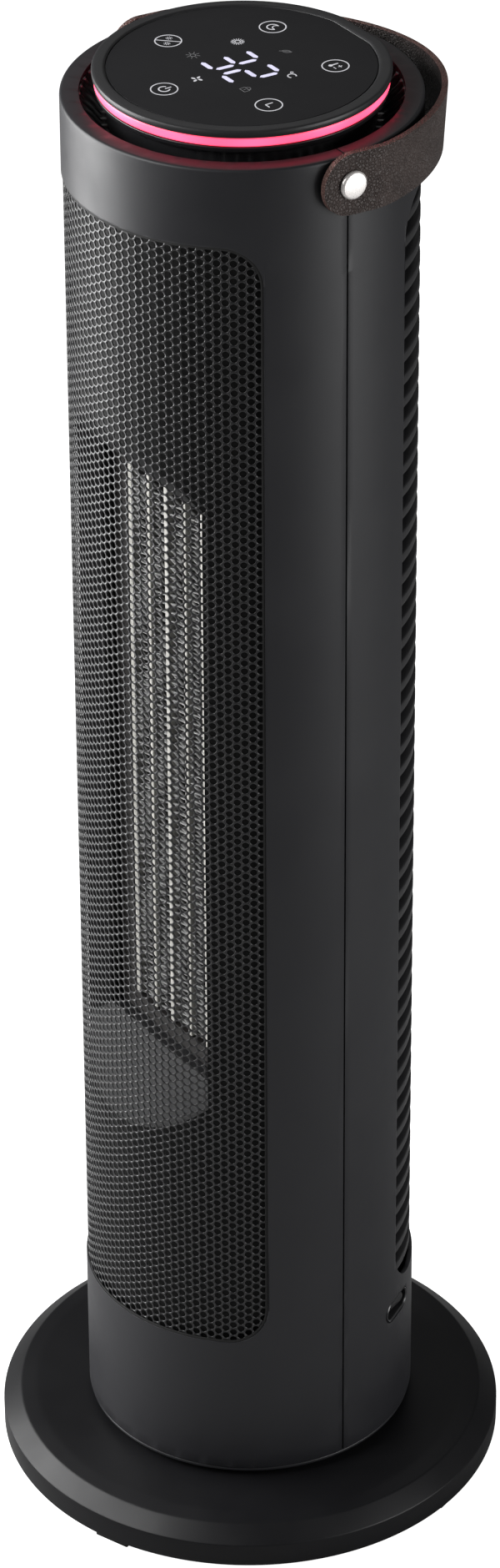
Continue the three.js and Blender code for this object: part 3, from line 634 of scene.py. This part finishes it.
def housing_surface(middle, half_angle):
    """The outer skin of half the housing, with its opening and the turned-in rim, as an open surface."""
    half, edge = opening_columns(half_angle)
    columns = [(-s, rise) for s, rise in half[:0:-1]] + half
    top = RIM_TOP - RIM_SHOULDER
    shoulder = rounded([(TOWER_R, top), (TOWER_R, RIM_TOP, 1.6), (RIM_INNER, RIM_TOP)], 5, False)[1:]
    verts, faces, starts = [], [], []
    low_rows, side_rows, high_rows = 12, 10, 4
    for s, rise in columns:
        low, high = OPENING_LOW + rise, OPENING_HIGH - rise
        degrees = middle + math.degrees(s / TOWER_R)
        heights = evenly(SHELL_BOTTOM, low - EDGE_STRIP, low_rows) + evenly(low, high, side_rows)
        heights += evenly(high + EDGE_STRIP, top, high_rows)
        rows = [(TOWER_R, z) for z in heights] + shoulder
        starts.append(len(verts))
        verts += [around(r, degrees, z) for r, z in rows]
    count = len(rows)
    for c in range(len(columns) - 1):
        walled = min(abs(columns[c][0]), abs(columns[c + 1][0])) > edge - 0.001
        here, there = starts[c], starts[c + 1]
        for k in range(count - 1):
            in_opening = low_rows < k <= low_rows + side_rows
            if walled or not in_opening:
                faces.append([here + k, there + k, there + k + 1, here + k + 1])
    used = sorted({i for face in faces for i in face})
    fresh = {old: new for new, old in enumerate(used)}
    return [verts[i] for i in used], [[fresh[i] for i in face] for face in faces]


def thin_round_opening(shell, wall, half_angle):
    """A rebate behind the front opening's edge, where the perforated sheet tucks in."""
    margin = 6
    reach = math.radians(half_angle) * TOWER_R + margin
    group = shell.vertex_groups.new(name="wall")
    for vertex in shell.data.vertices:
        x, y, z = vertex.co / MM
        along = abs(math.atan2(x, -y)) * TOWER_R
        thin = along < reach and OPENING_LOW - margin < z < OPENING_HIGH + margin
        group.add([vertex.index], REBATE_SHARE if thin else 1, "REPLACE")
    wall.vertex_group = "wall"


def make_housing():
    for name, middle, half_angle in (("front", 0, OUTLET_HALF_ANGLE), ("rear", 180, INTAKE_HALF_ANGLE)):
        verts, faces = housing_surface(middle, half_angle)
        shell = piece(f"{name}_housing_shell", verts, faces, "tower", "housing",
                      [f"{name}_housing"], "housing_plastic")
        wall = thicken(shell, WALL)
        if name == "front":
            thin_round_opening(shell, wall, half_angle)
        if name == "rear":
            through = prism(oval(SWITCH_WIDTH, SWITCH_HEIGHT), -8, 8)
            hole = mesh_object("cutter", *moved(through, wall_frame(SWITCH_ANGLE, SWITCH_Z, TOWER_R)))
            cut = shell.modifiers.new("switch_hole", "BOOLEAN")
            cut.object = hole
            cut.solver = "EXACT"
        soften(shell, 0.3 if name == "front" else 0.6)
        bake_modifiers(shell)
        if name == "rear":
            bpy.data.objects.remove(hole)


# ---- perforated front


def perforated_tile(first_row, last_row, columns, first_z):
    """Part of the perforated sheet: staggered round holes, each in the six-sided cell round it."""
    side = HOLE_PITCH / math.sqrt(3)
    hexagon = [(2, 0), (1, 1), (-1, 1), (-2, 0), (-1, -1), (1, -1)]
    corner_ids, verts, faces, uses = {}, [], [], {}
    layers = (GRILLE_R, GRILLE_R - SHEET_THICKNESS)

    def place(x, z):
        for radius in layers:
            verts.append(around(radius, math.degrees((x + HOLE_SHIFT) / GRILLE_R), z))
        return len(verts) - 2

    for column in range(-columns, columns + 1):
        for row in range(first_row, last_row):
            x = column * side * 1.5
            step = 2 * row + column % 2
            z = first_z + step * HOLE_PITCH / 2
            corners = []
            for dx, dz in hexagon:
                key = (3 * column + dx, step + dz)
                if key not in corner_ids:
                    corner_ids[key] = place(key[0] * side / 2, first_z + key[1] * HOLE_PITCH / 2)
                corners.append(corner_ids[key])
            turns = [math.radians(30 * k) for k in range(12)]
            hole = [place(*on_circle((x, z), HOLE_R, turn)) for turn in turns]
            for k in range(6):
                a, b = corners[k], corners[(k + 1) % 6]
                p, q, r = hole[2 * k], hole[2 * k + 1], hole[(2 * k + 2) % 12]
                faces.append([a, b, r, q, p])
                faces.append([p + 1, q + 1, r + 1, b + 1, a + 1])
                edge = (min(a, b), max(a, b))
                uses[edge] = None if edge in uses else (a, b)
            for k in range(12):
                p, q = hole[k], hole[(k + 1) % 12]
                faces.append([p, q, q + 1, p + 1])
    rim = [pair for pair in uses.values() if pair]
    faces += [[a + 1, b + 1, b, a] for a, b in rim]
    return verts, faces, {i for pair in rim for i in pair}


def make_perforated_front():
    """The sheet in three tiles; only its outline is sharp, so that the holes' edges stay soft."""
    rows = round((SHEET_HIGH - SHEET_LOW) / HOLE_PITCH) - 1
    reach = math.radians(OUTLET_HALF_ANGLE + 2) * GRILLE_R
    columns = int(reach / (HOLE_PITCH / math.sqrt(3) * 1.5))
    tiles = 3
    for k in range(tiles):
        first, last = rows * k // tiles, rows * (k + 1) // tiles
        verts, faces, rim = perforated_tile(first, last, columns, SHEET_LOW + HOLE_PITCH)
        sheet = mesh_object(f"front_grille_sheet_{k + 1}", verts, faces)
        mesh = sheet.data
        mesh.shade_smooth()
        sharp = mesh.attributes.new("sharp_edge", "BOOLEAN", "EDGE")
        both = rim | {i + 1 for i in rim}
        sharp.data.foreach_set("value", [both.issuperset(edge.vertices) for edge in mesh.edges])
        mesh.materials.append(MATERIALS["grille"])
        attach(sheet, "tower")
        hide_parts("front_grille")


def opening_outline(grow):
    """The front opening's edge, grown outwards: places along the wall and heights, all the way round."""
    half = math.radians(OUTLET_HALF_ANGLE) * TOWER_R + grow
    low, high = OPENING_LOW - grow, OPENING_HIGH + grow
    radius = OPENING_CORNER + grow
    side, bottom, top = half - radius, low + radius, high - radius
    outline = []
    for k, middle in enumerate([(side, top), (-side, top), (-side, bottom), (side, bottom)]):
        turns = evenly(90 * k, 90 * k + 90, 8)
        outline += [on_circle(middle, radius, math.radians(turn)) for turn in turns]
    return outline


def make_grille_shadow_strip():
    """A narrow black strip between the housing's opening and the perforated sheet: painted shadow, standing
    for the shadow gap there.
    """
    inner = opening_outline(-SHADOW_STRIP_LIP)
    outer = opening_outline(SHADOW_STRIP_COVER)
    back = SHADOW_STRIP_R - SHADOW_STRIP_THICKNESS
    section = ((inner, SHADOW_STRIP_R), (outer, SHADOW_STRIP_R), (outer, back), (inner, back))
    verts = []
    for k, start in enumerate(inner):
        n = (k + 1) % len(inner)
        steps = max(1, round(math.dist(start, inner[n]) / COLUMN_STEP))
        for i in range(steps):
            for line, radius in section:
                s, z = Vector(line[k]).lerp(Vector(line[n]), i / steps)
                verts.append(around(radius, math.degrees(s / TOWER_R), z))
    faces = ring_faces(len(verts) // 4, 4, True)
    # painted shadow: this black strip stands for the shadow gap round the opening
    piece("front_grille_painted_shadow_strip", verts, faces, "tower", "rubber", ["front_grille"], "inner_plastic")


# ---- louvred rear


def swept_round(outline, middle, half_angle, step=2.5):
    """A section of (radius, height) swept round the tower's axis, closed at both ends."""
    angles = spaced(middle - half_angle, middle + half_angle, step)
    verts = [around(r, degrees, z) for degrees in angles for r, z in outline]
    return verts, end_faces(len(angles), len(outline)) + ring_faces(len(angles), len(outline))


def upright(inner, outer, margin):
    """The section of an upright bar or sheet that reaches past the opening by margin at both ends."""
    low, high = OPENING_LOW - margin, OPENING_HIGH + margin
    return [(inner, low), (outer, low), (outer, high), (inner, high)]


def make_louvres():
    """Tilted slats with rounded noses, upright ribs that hold them, and a dust net behind."""
    half = INTAKE_HALF_ANGLE + 2.5
    nose, tail = LOUVRE_R + 0.2, LOUVRE_R - LOUVRE_DEPTH
    slats = []
    count = int((OPENING_HIGH - OPENING_LOW) / LOUVRE_PITCH)
    first = (OPENING_LOW + OPENING_HIGH - (count - 1) * LOUVRE_PITCH) / 2
    for k in range(count):
        z = first + k * LOUVRE_PITCH
        section = rounded([
            (tail, z + 3.6, 0.5), (tail, z + 1.2, 0.5), (nose, z - 2.6, 0.5), (nose, z + 2.2, 0.7),
        ], 3)
        slats.append(swept_round(section, 180, half))
    rib = upright(tail - 1.5, LOUVRE_R - 2, 3)
    ribs = [swept_round(rib, 180 + degrees, 0.9, 1) for degrees in LOUVRE_RIBS]
    verts, faces = gather(slats + ribs)
    piece("rear_louvres", verts, faces, "tower", "intake", ["rear_intake_grille"], "intake_plastic")
    net = swept_round(upright(tail - 3, tail - 2.4, 2), 180, half)
    piece("rear_dust_net", *net, "tower", "net", ["rear_intake_grille"], "inner_plastic")


# ---- base


def make_base():
    inside_r, inside_top = BASE_R - WALL, BASE_TOP - WALL
    cover = rounded([
        (BASE_HOLE_R, inside_top), (BASE_DECK_R, inside_top), (inside_r, BASE_EDGE_TOP - 1),
        (inside_r, BASE_UNDERSIDE), (BASE_R, BASE_UNDERSIDE, 0.4), (BASE_R, BASE_EDGE_TOP, 0.6),
        (*BASE_SLOPE, 0.8), (BASE_DECK_R, BASE_TOP, 2), (BASE_HOLE_R, BASE_TOP, 0.6),
    ], 6)
    piece("base_cover_shell", *turned(cover), "base", "base", ["base_cover"], "base_plastic")
    height = node_box("foot_1")[1].z
    side, back, front = FOOT_WIDTH / 2, FOOT_DEPTH / 2, -FOOT_DEPTH / 2 - FOOT_BULGE
    pad = rounded([(-side, front, 0.7), (side, front, 0.7), (side, back, 1.5), (-side, back, 1.5)])
    for k in range(1, 5):
        low, high = node_box(f"foot_{k}")
        middle = (low + high) / 2
        outward = math.atan2(middle.x, -middle.y)
        place = Matrix.Translation((middle.x, middle.y, 0)) @ Matrix.Rotation(outward, 4, "Z")
        shape = moved(prism(pad, 0, height), place)
        foot = piece(f"rubber_foot_{k}", *shape, "base", "rubber", [f"foot_{k}"], "rubber")
        soften(foot, 0.3, 2, 60)
        bake_modifiers(foot)


def make_tower_bottom():
    low, high = node_box("tower_bottom")
    inner, outer = SPINDLE_R - 4, TOWER_R - 0.5
    ring = rounded([
        (inner, low.z), (SPINDLE_R, low.z, 0.5), (SPINDLE_R, SHADOW_GAP_TOP),
        (outer - 0.9, SHADOW_GAP_TOP, 0.6), (outer, SHADOW_GAP_TOP + 0.9, 0.4),
        (outer, SHADOW_GAP_TOP + 2.1, 0.3), (outer - 1.1, high.z), (inner, high.z),
    ])
    piece("tower_bottom_ring", *turned(ring), "tower", "housing", ["tower_bottom"], "housing_plastic")


# ---- top


def make_funnel():
    """The deck inside the housing's rim, and the ribbed slope that falls from it to the stem."""
    deck = RIM_TOP - DECK_DROP
    slope = [(72.9, deck, 0), (72.2, deck - 0.7, 0.25), (70.5, deck - 2.5, 1), (66.5, deck - 6.6, 1),
             (63.6, deck - 9.6, 1), (62.4, FUNNEL_FLOOR + 0.1, 0.2)]
    plain = [(12, FUNNEL_FLOOR), (12, FUNNEL_UNDERSIDE), (62, FUNNEL_UNDERSIDE),
             (DECK_R, deck - 3), (DECK_R, deck)]
    verts = []
    for k in range(FUNNEL_STEPS):
        degrees = 360 * k / FUNNEL_STEPS
        ridge = math.cos(math.radians(degrees * FUNNEL_RIBS))
        ridge = math.copysign(abs(ridge) ** 0.6, ridge)
        for r, z, share in slope:
            lift = 0.7 * FUNNEL_RIB_HEIGHT * (ridge - 1) * share
            verts.append(around(r - lift, degrees, z + lift))
        verts += [around(r, degrees, z) for r, z in plain]
    faces = ring_faces(FUNNEL_STEPS, len(slope + plain), True)
    piece("ribbed_funnel", verts, faces, "tower", "deck", ["top_deck"], "housing_plastic", 50)


def make_panel():
    """The stem, the lit ring and the panel's rim and glass; returns the height of the glass's face."""
    floor, stem_inner, stem_foot = LED_LOW - 0.4, STEM_R - STEM_WALL, FUNNEL_FLOOR + 0.4
    stem = rounded([
        (stem_inner, stem_foot), (STEM_R, stem_foot), (STEM_R, floor - 5, 1),
        (LED_R - 0.5, floor - 2.5, 0.8), (LED_R, floor, 0.4),
        (0, floor), (0, floor - 2.3), (stem_inner, floor - 2.3),
    ])
    piece("panel_stem", *turned(stem), "tower", "deck", ["panel_housing"], "housing_plastic")

    inner = LED_R - 4.5
    ring = rounded([(inner, LED_LOW), (LED_R, LED_LOW, 0.9), (LED_R, LED_HIGH, 0.9), (inner, LED_HIGH)])
    piece("lit_ring", *turned(ring), "tower", "led", ["led_ring"], "light_ring")

    low, ledge, recess = LED_HIGH + 0.2, PANEL_TOP - 1.7, GLASS_R + 0.35
    rim = rounded([
        (57, low), (PANEL_R - 0.5, low, 0.5), (PANEL_R, PANEL_TOP - 0.2, 1.8), (62.2, PANEL_TOP, 0.6),
        (recess, PANEL_TOP - 0.7, 0.2), (recess, ledge), (57, ledge),
    ])
    piece("panel_bezel", *flat_at_back(turned(rim)), "tower", "rim", ["panel_rim"], "housing_plastic", 30)

    top = GLASS_TOP - 0.35
    pane = rounded([(0, GLASS_LOW), (GLASS_R, GLASS_LOW), (GLASS_R, top, 0.25), (0, top)])
    piece("touch_pane", *flat_at_back(turned(pane)), "tower", "glass", ["touch_glass"], "panel_glass", 30)
    return top


# ---- panel symbols


def ring_shape(centre, radius, width, start=0, end=360, steps=48):
    """A flat ring, or part of one with square ends, as outlines of quads."""
    turns = [math.radians(t) for t in evenly(start, end, max(4, int(steps * (end - start) / 360)))]
    inner, outer = radius - width / 2, radius + width / 2
    quads = []
    for a, b in zip(turns, turns[1:]):
        corners = ((inner, a), (outer, a), (outer, b), (inner, b))
        quads.append([on_circle(centre, r, t) for r, t in corners])
    return quads


def bar_shape(start, end, width):
    """A straight bar with round ends."""
    start, end = Vector(start), Vector(end)
    along = (end - start).normalized()
    turn = math.atan2(along.y, along.x)
    outline = []
    for centre, first in ((end, -90), (start, 90)):
        for k in range(7):
            outline.append(on_circle(centre, width / 2, turn + math.radians(first + 30 * k)))
    return [outline]


def disc_shape(centre, radius, steps=20):
    turns = [2 * math.pi * k / steps for k in range(steps)]
    return [[on_circle(centre, radius, turn) for turn in turns]]


def placed(shapes, centre, size=1.0):
    return [[(centre[0] + x * size, centre[1] + y * size) for x, y in outline] for outline in shapes]


def sun(rays, reach):
    shapes = ring_shape((0, 0), 1.25, 0.4)
    for k in range(rays):
        angle = 2 * math.pi * k / rays
        start, end = (on_circle((0, 0), r, angle) for r in (1.9, reach))
        shapes += bar_shape(start, end, 0.34)
    return shapes


def power_symbol():
    return ring_shape((0, 0), 2.5, 0.65, 128, 412) + bar_shape((0, 0.8), (0, 3.5), 0.65)


def moon_symbol():
    return ring_shape((0.1, 0), 2.7, 0.6, 75, 345) + ring_shape((1.5, 1.1), 1.9, 0.5, 130, 290)


def clock_symbol():
    return bar_shape((-0.9, -1.1), (-0.9, 2.5), 0.6) + bar_shape((-0.9, -1.1), (1.9, -1.1), 0.6)


def thermometer_symbol():
    shapes = disc_shape((-1.5, -1.6), 1.0) + bar_shape((-1.5, -1.6), (-1.5, 2.2), 0.75)
    shapes += bar_shape((0.7, 1.5), (2.5, 1.5), 0.4) + bar_shape((1.6, 0.6), (1.6, 2.4), 0.4)
    return shapes + bar_shape((0.7, -1.5), (2.5, -1.5), 0.4)


def heat_level_symbol():
    shapes = placed(sun(8, 2.6), (-2.1, 1.9), 0.6) + placed(sun(8, 2.6), (2.0, -2.0), 0.6)
    return shapes + bar_shape((-4.1, -4.1), (4.1, 4.1), 0.5)


def fan_symbol():
    blade = [(1.7 + 1.15 * x, 0.62 * y + 0.25) for x, y in disc_shape((0, 0), 1, 14)[0]]
    shapes = []
    for k in range(4):
        turn = math.pi / 2 * k + 0.4
        cos, sin = math.cos(turn), math.sin(turn)
        shapes.append([(x * cos - y * sin, x * sin + y * cos) for x, y in blade])
    return shapes


def lock_symbol():
    shapes = []
    corners = [(-2, -2.2), (2, -2.2), (2, 0.6), (-2, 0.6)]
    for k in range(4):
        shapes += bar_shape(corners[k], corners[(k + 1) % 4], 0.3)
    return shapes + ring_shape((0, 0.9), 1.3, 0.3, 0, 180) + bar_shape((0, -1.2), (0, -0.4), 0.35)


def leaf_symbol():
    shapes = bar_shape((-2.4, -2.2), (1.6, 1.8), 0.32)
    return shapes + ring_shape((-1.4, 1.6), 3.1, 0.32, -78, -2) + ring_shape((1.2, -1.4), 3.1, 0.32, 98, 176)


def degree_symbol():
    return ring_shape((-2.2, 1.9), 0.6, 0.35) + ring_shape((0.7, 0), 1.9, 0.6, 45, 315)


def digit(segments, centre):
    """A seven-segment digit that leans a little; segments are letters, a on top and round to g."""
    half_width, half_height, slant, width, gap = 5.4, 11.5, 0.1, 2.3, 1.5
    left, right = -half_width, half_width
    ends = {
        "a": ((left + gap, half_height), (right - gap, half_height)),
        "b": ((right, half_height - gap), (right, gap)),
        "c": ((right, -gap), (right, gap - half_height)),
        "d": ((left + gap, -half_height), (right - gap, -half_height)),
        "e": ((left, -gap), (left, gap - half_height)),
        "f": ((left, half_height - gap), (left, gap)),
        "g": ((left + gap, 0), (right - gap, 0)),
    }
    shapes = []
    for letter in segments:
        start, end = (Vector(p) for p in ends[letter])
        along = (end - start).normalized()
        side = Vector((-along.y, along.x)) * width / 2
        tip = along * width * 0.42
        outline = [start - tip * 0.3, start + tip + side, end - tip + side, end + tip * 0.3,
                   end - tip - side, start + tip - side][::-1]
        shapes.append([(centre[0] + p.x + slant * p.y, centre[1] + p.y) for p in outline])
    return shapes


def printed(name, shapes, top, material):
    """Flat symbols a hair thick, just above the glass."""
    verts, faces = gather([prism(outline, top - 0.02, top + 0.05) for outline in shapes])
    piece(name, verts, faces, "tower", material, (), "panel_glass", 30)


def make_symbols(top):
    button_circle, lamp_circle = 41.8, 24.3
    buttons = [power_symbol(), clock_symbol(), thermometer_symbol(), moon_symbol(), heat_level_symbol()]
    lit, dim = [], []
    for k, symbol in enumerate(buttons):
        centre = on_circle((0, 0), button_circle, math.radians(-90 + 72 * k))
        lit += ring_shape(centre, 6.05, 0.55) + placed(symbol, centre)
    lamps = [(fan_symbol(), lit), (lock_symbol(), dim), (degree_symbol(), lit), (leaf_symbol(), dim),
             (sun(16, 3.0), lit), (sun(8, 3.2), dim)]
    for k, (symbol, group) in enumerate(lamps):
        group.extend(placed(symbol, on_circle((0, 0), lamp_circle, math.radians(-90 + 60 * k))))
    printed("panel_symbols", lit, top, "symbols")
    printed("panel_dim_symbols", dim, top, "dim")
    digits = digit("abgcd", (-7.4, -1.6)) + digit("abged", (9.1, -1.6))
    printed("panel_digits", digits, top, "digits")


# ---- strap and rivets


def make_strap():
    """A flat leather band: straight legs with round ends at the rivets, bent round the back."""
    half_width = STRAP_WIDTH / 2
    leg_turns = [1 - math.cos(math.radians(degrees)) for degrees in evenly(4, 90, 12)]
    leg = [(STRAP_OUTER, half_width * (turn - 1), half_width * turn) for turn in leg_turns]
    bend = []
    for turn in evenly(0, math.pi, 120):
        back = (STRAP_REACH - STRAP_LEG) * max(0, math.sin(turn)) ** STRAP_BOW
        bend.append((STRAP_OUTER * math.cos(turn), STRAP_LEG + back, half_width))
    plan = leg + bend + [(-x, y, end_gap) for x, y, end_gap in leg[::-1]]
    droop = Matrix.Rotation(math.radians(-STRAP_DROOP), 4, "X")
    rows = 12
    verts, faces = [], []
    for x, y, end_gap in plan:
        reach = math.sqrt(half_width ** 2 - (half_width - end_gap) ** 2)
        for height in evenly(-reach, reach, rows):
            spot = droop @ Vector((x, y, height))
            verts.append((spot.x, spot.y, spot.z + PIVOT_Z))
    for c in range(len(plan) - 1):
        here, there = c * (rows + 1), (c + 1) * (rows + 1)
        faces += [[here + k, there + k, there + k + 1, here + k + 1] for k in range(rows)]
    strap = piece("leather_strap", verts, faces, "handle", "strap", ["handle_strap"], "leather")
    if strap.data.polygons[0].normal.x < 0:
        strap.data.flip_normals()
    strap.data.materials.append(MATERIALS["strap_edge"])
    strap.data.materials.append(MATERIALS["strap_inside"])
    wall = thicken(strap, STRAP_THICKNESS - 0.1)
    wall.material_offset_rim = 1
    wall.material_offset = 2
    soften(strap, 0.9, 4)
    bake_modifiers(strap)


def make_rivets():
    head = STRAP_OUTER + 0.15
    outline = rounded([
        (0, RIVET_TAIL), (RIVET_SHANK_R, RIVET_TAIL, 0.4), (RIVET_SHANK_R, head), (RIVET_R - 0.1, head, 0.3),
        (RIVET_R, head + 1.2, 0.5), (RIVET_R - 0.7, head + 2.1, 0.5), (RIVET_R - 1.6, head + 2.2, 0.6),
        (0, head + 2.45),
    ])
    for side, name in ((1, "right"), (-1, "left")):
        verts, faces = turned(outline, 64)
        verts = [(side * z, side * x, y + PIVOT_Z) for x, y, z in verts]
        piece(f"rivet_{name}_head", verts, faces, "tower", "chrome", [f"rivet_{name}"], "rivet_chrome")


# ---- power switch


def make_switch():
    """A lipped oval tub with a rocker in it, crowned along its length."""
    frame_out = wall_frame(SWITCH_ANGLE, SWITCH_Z, TOWER_R - 1.4)
    rings = [(0.8, -10), (0.8, 0.7), (1.6, 1.1), (SWITCH_LIP, 0.6), (SWITCH_LIP, -8.4)]
    verts = [(x, y, z) for less, z in rings for x, y in oval(SWITCH_WIDTH - less, SWITCH_HEIGHT - less)]
    count = len(verts) // len(rings)
    shape = verts, end_faces(len(rings), count) + ring_faces(len(rings), count)
    piece("switch_tub", *moved(shape, frame_out), "tower", "deck", ["switch_body"], "inner_plastic")

    tilt = Matrix.Rotation(math.radians(-ROCKER_TILT), 4, "Y")
    place = wall_frame(SWITCH_ANGLE, SWITCH_Z, TOWER_R - 5.2) @ tilt
    width, height = SWITCH_WIDTH - 5.8, SWITCH_HEIGHT - 4.4
    layers = [(0, -2), (0, 1.6), (0.5, 2.3), (1.6, 2.9), (4.5, 3.3)]
    verts = []
    for less, z in layers:
        for x, y in oval(width - less, height - less):
            verts.append((x, y, z - 1.1 * math.cos(math.pi * x / width) * (z > 0)))
    shape = verts, ring_faces(len(layers), count) + end_faces(len(layers), count)
    piece("rocker_cap", *moved(shape, place), "power_rocker", "rim", ["power_rocker"], "housing_plastic")


# ---- heating element


def make_element():
    """Fine folded fins between the bars, and bars with softened edges."""
    for k in range(1, 5):
        low, high = node_box(f"fin_pack_{k}")
        count = int((high.z - low.z - 1) / FIN_FOLD)
        verts = []
        for i in range(count + 1):
            middle = high.x - 0.5 if i % 2 else low.x + 0.5
            left, right = middle - FIN_THICKNESS / 2, middle + FIN_THICKNESS / 2
            z = low.z + 0.5 + i * FIN_FOLD
            verts += [(left, low.y, z), (left, high.y, z), (right, high.y, z), (right, low.y, z)]
        faces = ring_faces(count + 1, 4) + end_faces(count + 1, 4)
        piece(f"fine_fins_{k}", verts, faces, "tower", "fins", [f"fin_pack_{k}"], "aluminium", 30)
    for k in range(1, 6):
        low, high = node_box(f"ptc_bar_{k}")
        left, right = low.x - BAR_SWELL, high.x + BAR_SWELL
        front, back = low.y - BAR_SWELL, high.y
        corners = [(left, front, 0.5), (right, front, 0.5), (right, back, 0.4), (left, back, 0.4)]
        bar = prism(rounded(corners, 3), low.z, high.z)
        piece(f"element_bar_{k}", *bar, "tower", "bars", [f"ptc_bar_{k}"], "element_bar")


def make_element_frame():
    """The frame round the bars; its front falls away to them, so the outer bars show from the side."""
    low, high = node_box("heater_frame")
    first, last = node_box("ptc_bar_1")[0], node_box("ptc_bar_5")[1]
    gap = 0.5
    outside = low.x, high.x, low.z, high.z
    window = first.x - gap, last.x + gap, first.z - gap, last.z + gap
    verts = []
    for edge, y in ((outside, low.y), (window, first.y - BAR_SWELL), (window, high.y), (outside, high.y)):
        left, right, bottom, top = edge
        verts += [(left, y, bottom), (right, y, bottom), (right, y, top), (left, y, top)]
    faces = ring_faces(4, 4, True)
    piece("element_frame", verts, faces, "tower", "frame", ["heater_frame"], "inner_plastic")


# ---- carried-over CAD nodes

KEPT_NODES = {
    "base": ["base_bottom"],
    "duct": ["duct_bezel"],
    "inner": ["scroll_wall", "vortex_wall", "motor_bracket", "bearing_bracket", "impeller", "tip_switch"],
    "steel": ["base_weight", "swing_motor", "fan_motor", "upper_bearing", "impeller_shaft", "thermal_cutout",
              *(f"base_screw_{k}" for k in range(1, 5))],
    "acetal": ["glide_ring", "tip_plunger", "swing_gear", "swing_pinion"],
    "rubber": ["cord_gland"],
    "board": ["main_pcb", "display_pcb"],
}


def dress_kept_nodes():
    for material, names in KEPT_NODES.items():
        for name in names:
            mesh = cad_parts[name].data
            mesh.materials.clear()
            mesh.materials.append(MATERIALS[material])


# ---- floor and light

FLOOR_HALF = 6000
AMBIENT = 0.11  # how bright the surround is for everything but the camera
LAMP_AIM = Vector((0, 0, 0.45))


def make_stage():
    """A seamless white floor and surround for the camera, dim for the light they throw back, so that the
    black plastic keeps its depth; a tall softbox stands at the left and weaker ones fill the rest."""
    scene = bpy.context.scene
    scene.view_settings.view_transform = "Standard"
    half = FLOOR_HALF
    corners = [(-half, -half, 0), (half, -half, 0), (half, half, 0), (-half, half, 0)]
    floor = mesh_object("floor", corners, [[0, 1, 2, 3]])
    nodes = Nodes("floor_white")
    nodes.constant(Base_Color=(0.3, 0.3, 0.3, 1), Roughness=0.9, Specular_IOR_Level=0.0)
    nodes.constant(Emission_Color=(1, 1, 1, 1))
    nodes.feed("Emission Strength", nodes.add("ShaderNodeLightPath").outputs["Is Camera Ray"])
    floor.data.materials.append(nodes.owner)

    nodes = Nodes("studio", "worlds", "Background")
    nodes.constant(Color=(1, 1, 1, 1))
    seen = nodes.add("ShaderNodeLightPath").outputs["Is Camera Ray"]
    nodes.feed("Strength", nodes.remap(seen, 0, 1, AMBIENT, 1))
    scene.world = nodes.owner

    softbox("left_softbox", -102, 0.7, 1.1, 0.9, 1.4, 44)
    softbox("front_fill", -62, 1.5, 1.4, 0.5, 0.8, 20)
    softbox("right_fill", 64, 0.65, 1.5, 0.8, 1.2, 20)
    softbox("top_softbox", 180, 2.2, 1.6, 1.8, 1.0, 3)


def softbox(name, side, z, distance, width, height, power):
    """A rectangular lamp round the camera's own azimuth by side degrees, looking at the tower."""
    lamp = bpy.data.lights.new(name, "AREA")
    lamp.shape = "RECTANGLE"
    lamp.size = width
    lamp.size_y = height
    lamp.energy = power
    holder = add_object(name, lamp)
    angle = CAMERA_AZIMUTH + math.radians(side)
    place = Vector((math.sin(angle) * distance, -math.cos(angle) * distance, z))
    holder.location = place
    holder.rotation_mode = "QUATERNION"
    holder.rotation_quaternion = (LAMP_AIM - place).to_track_quat("-Z", "Y")


# ---- the whole

make_camera()
MATERIALS = make_materials()
make_housing()
make_perforated_front()
make_grille_shadow_strip()
make_louvres()
make_base()
make_tower_bottom()
make_funnel()
glass_top = make_panel()
make_symbols(glass_top)
make_strap()
make_rivets()
make_switch()
make_element()
make_element_frame()
dress_kept_nodes()
make_stage()
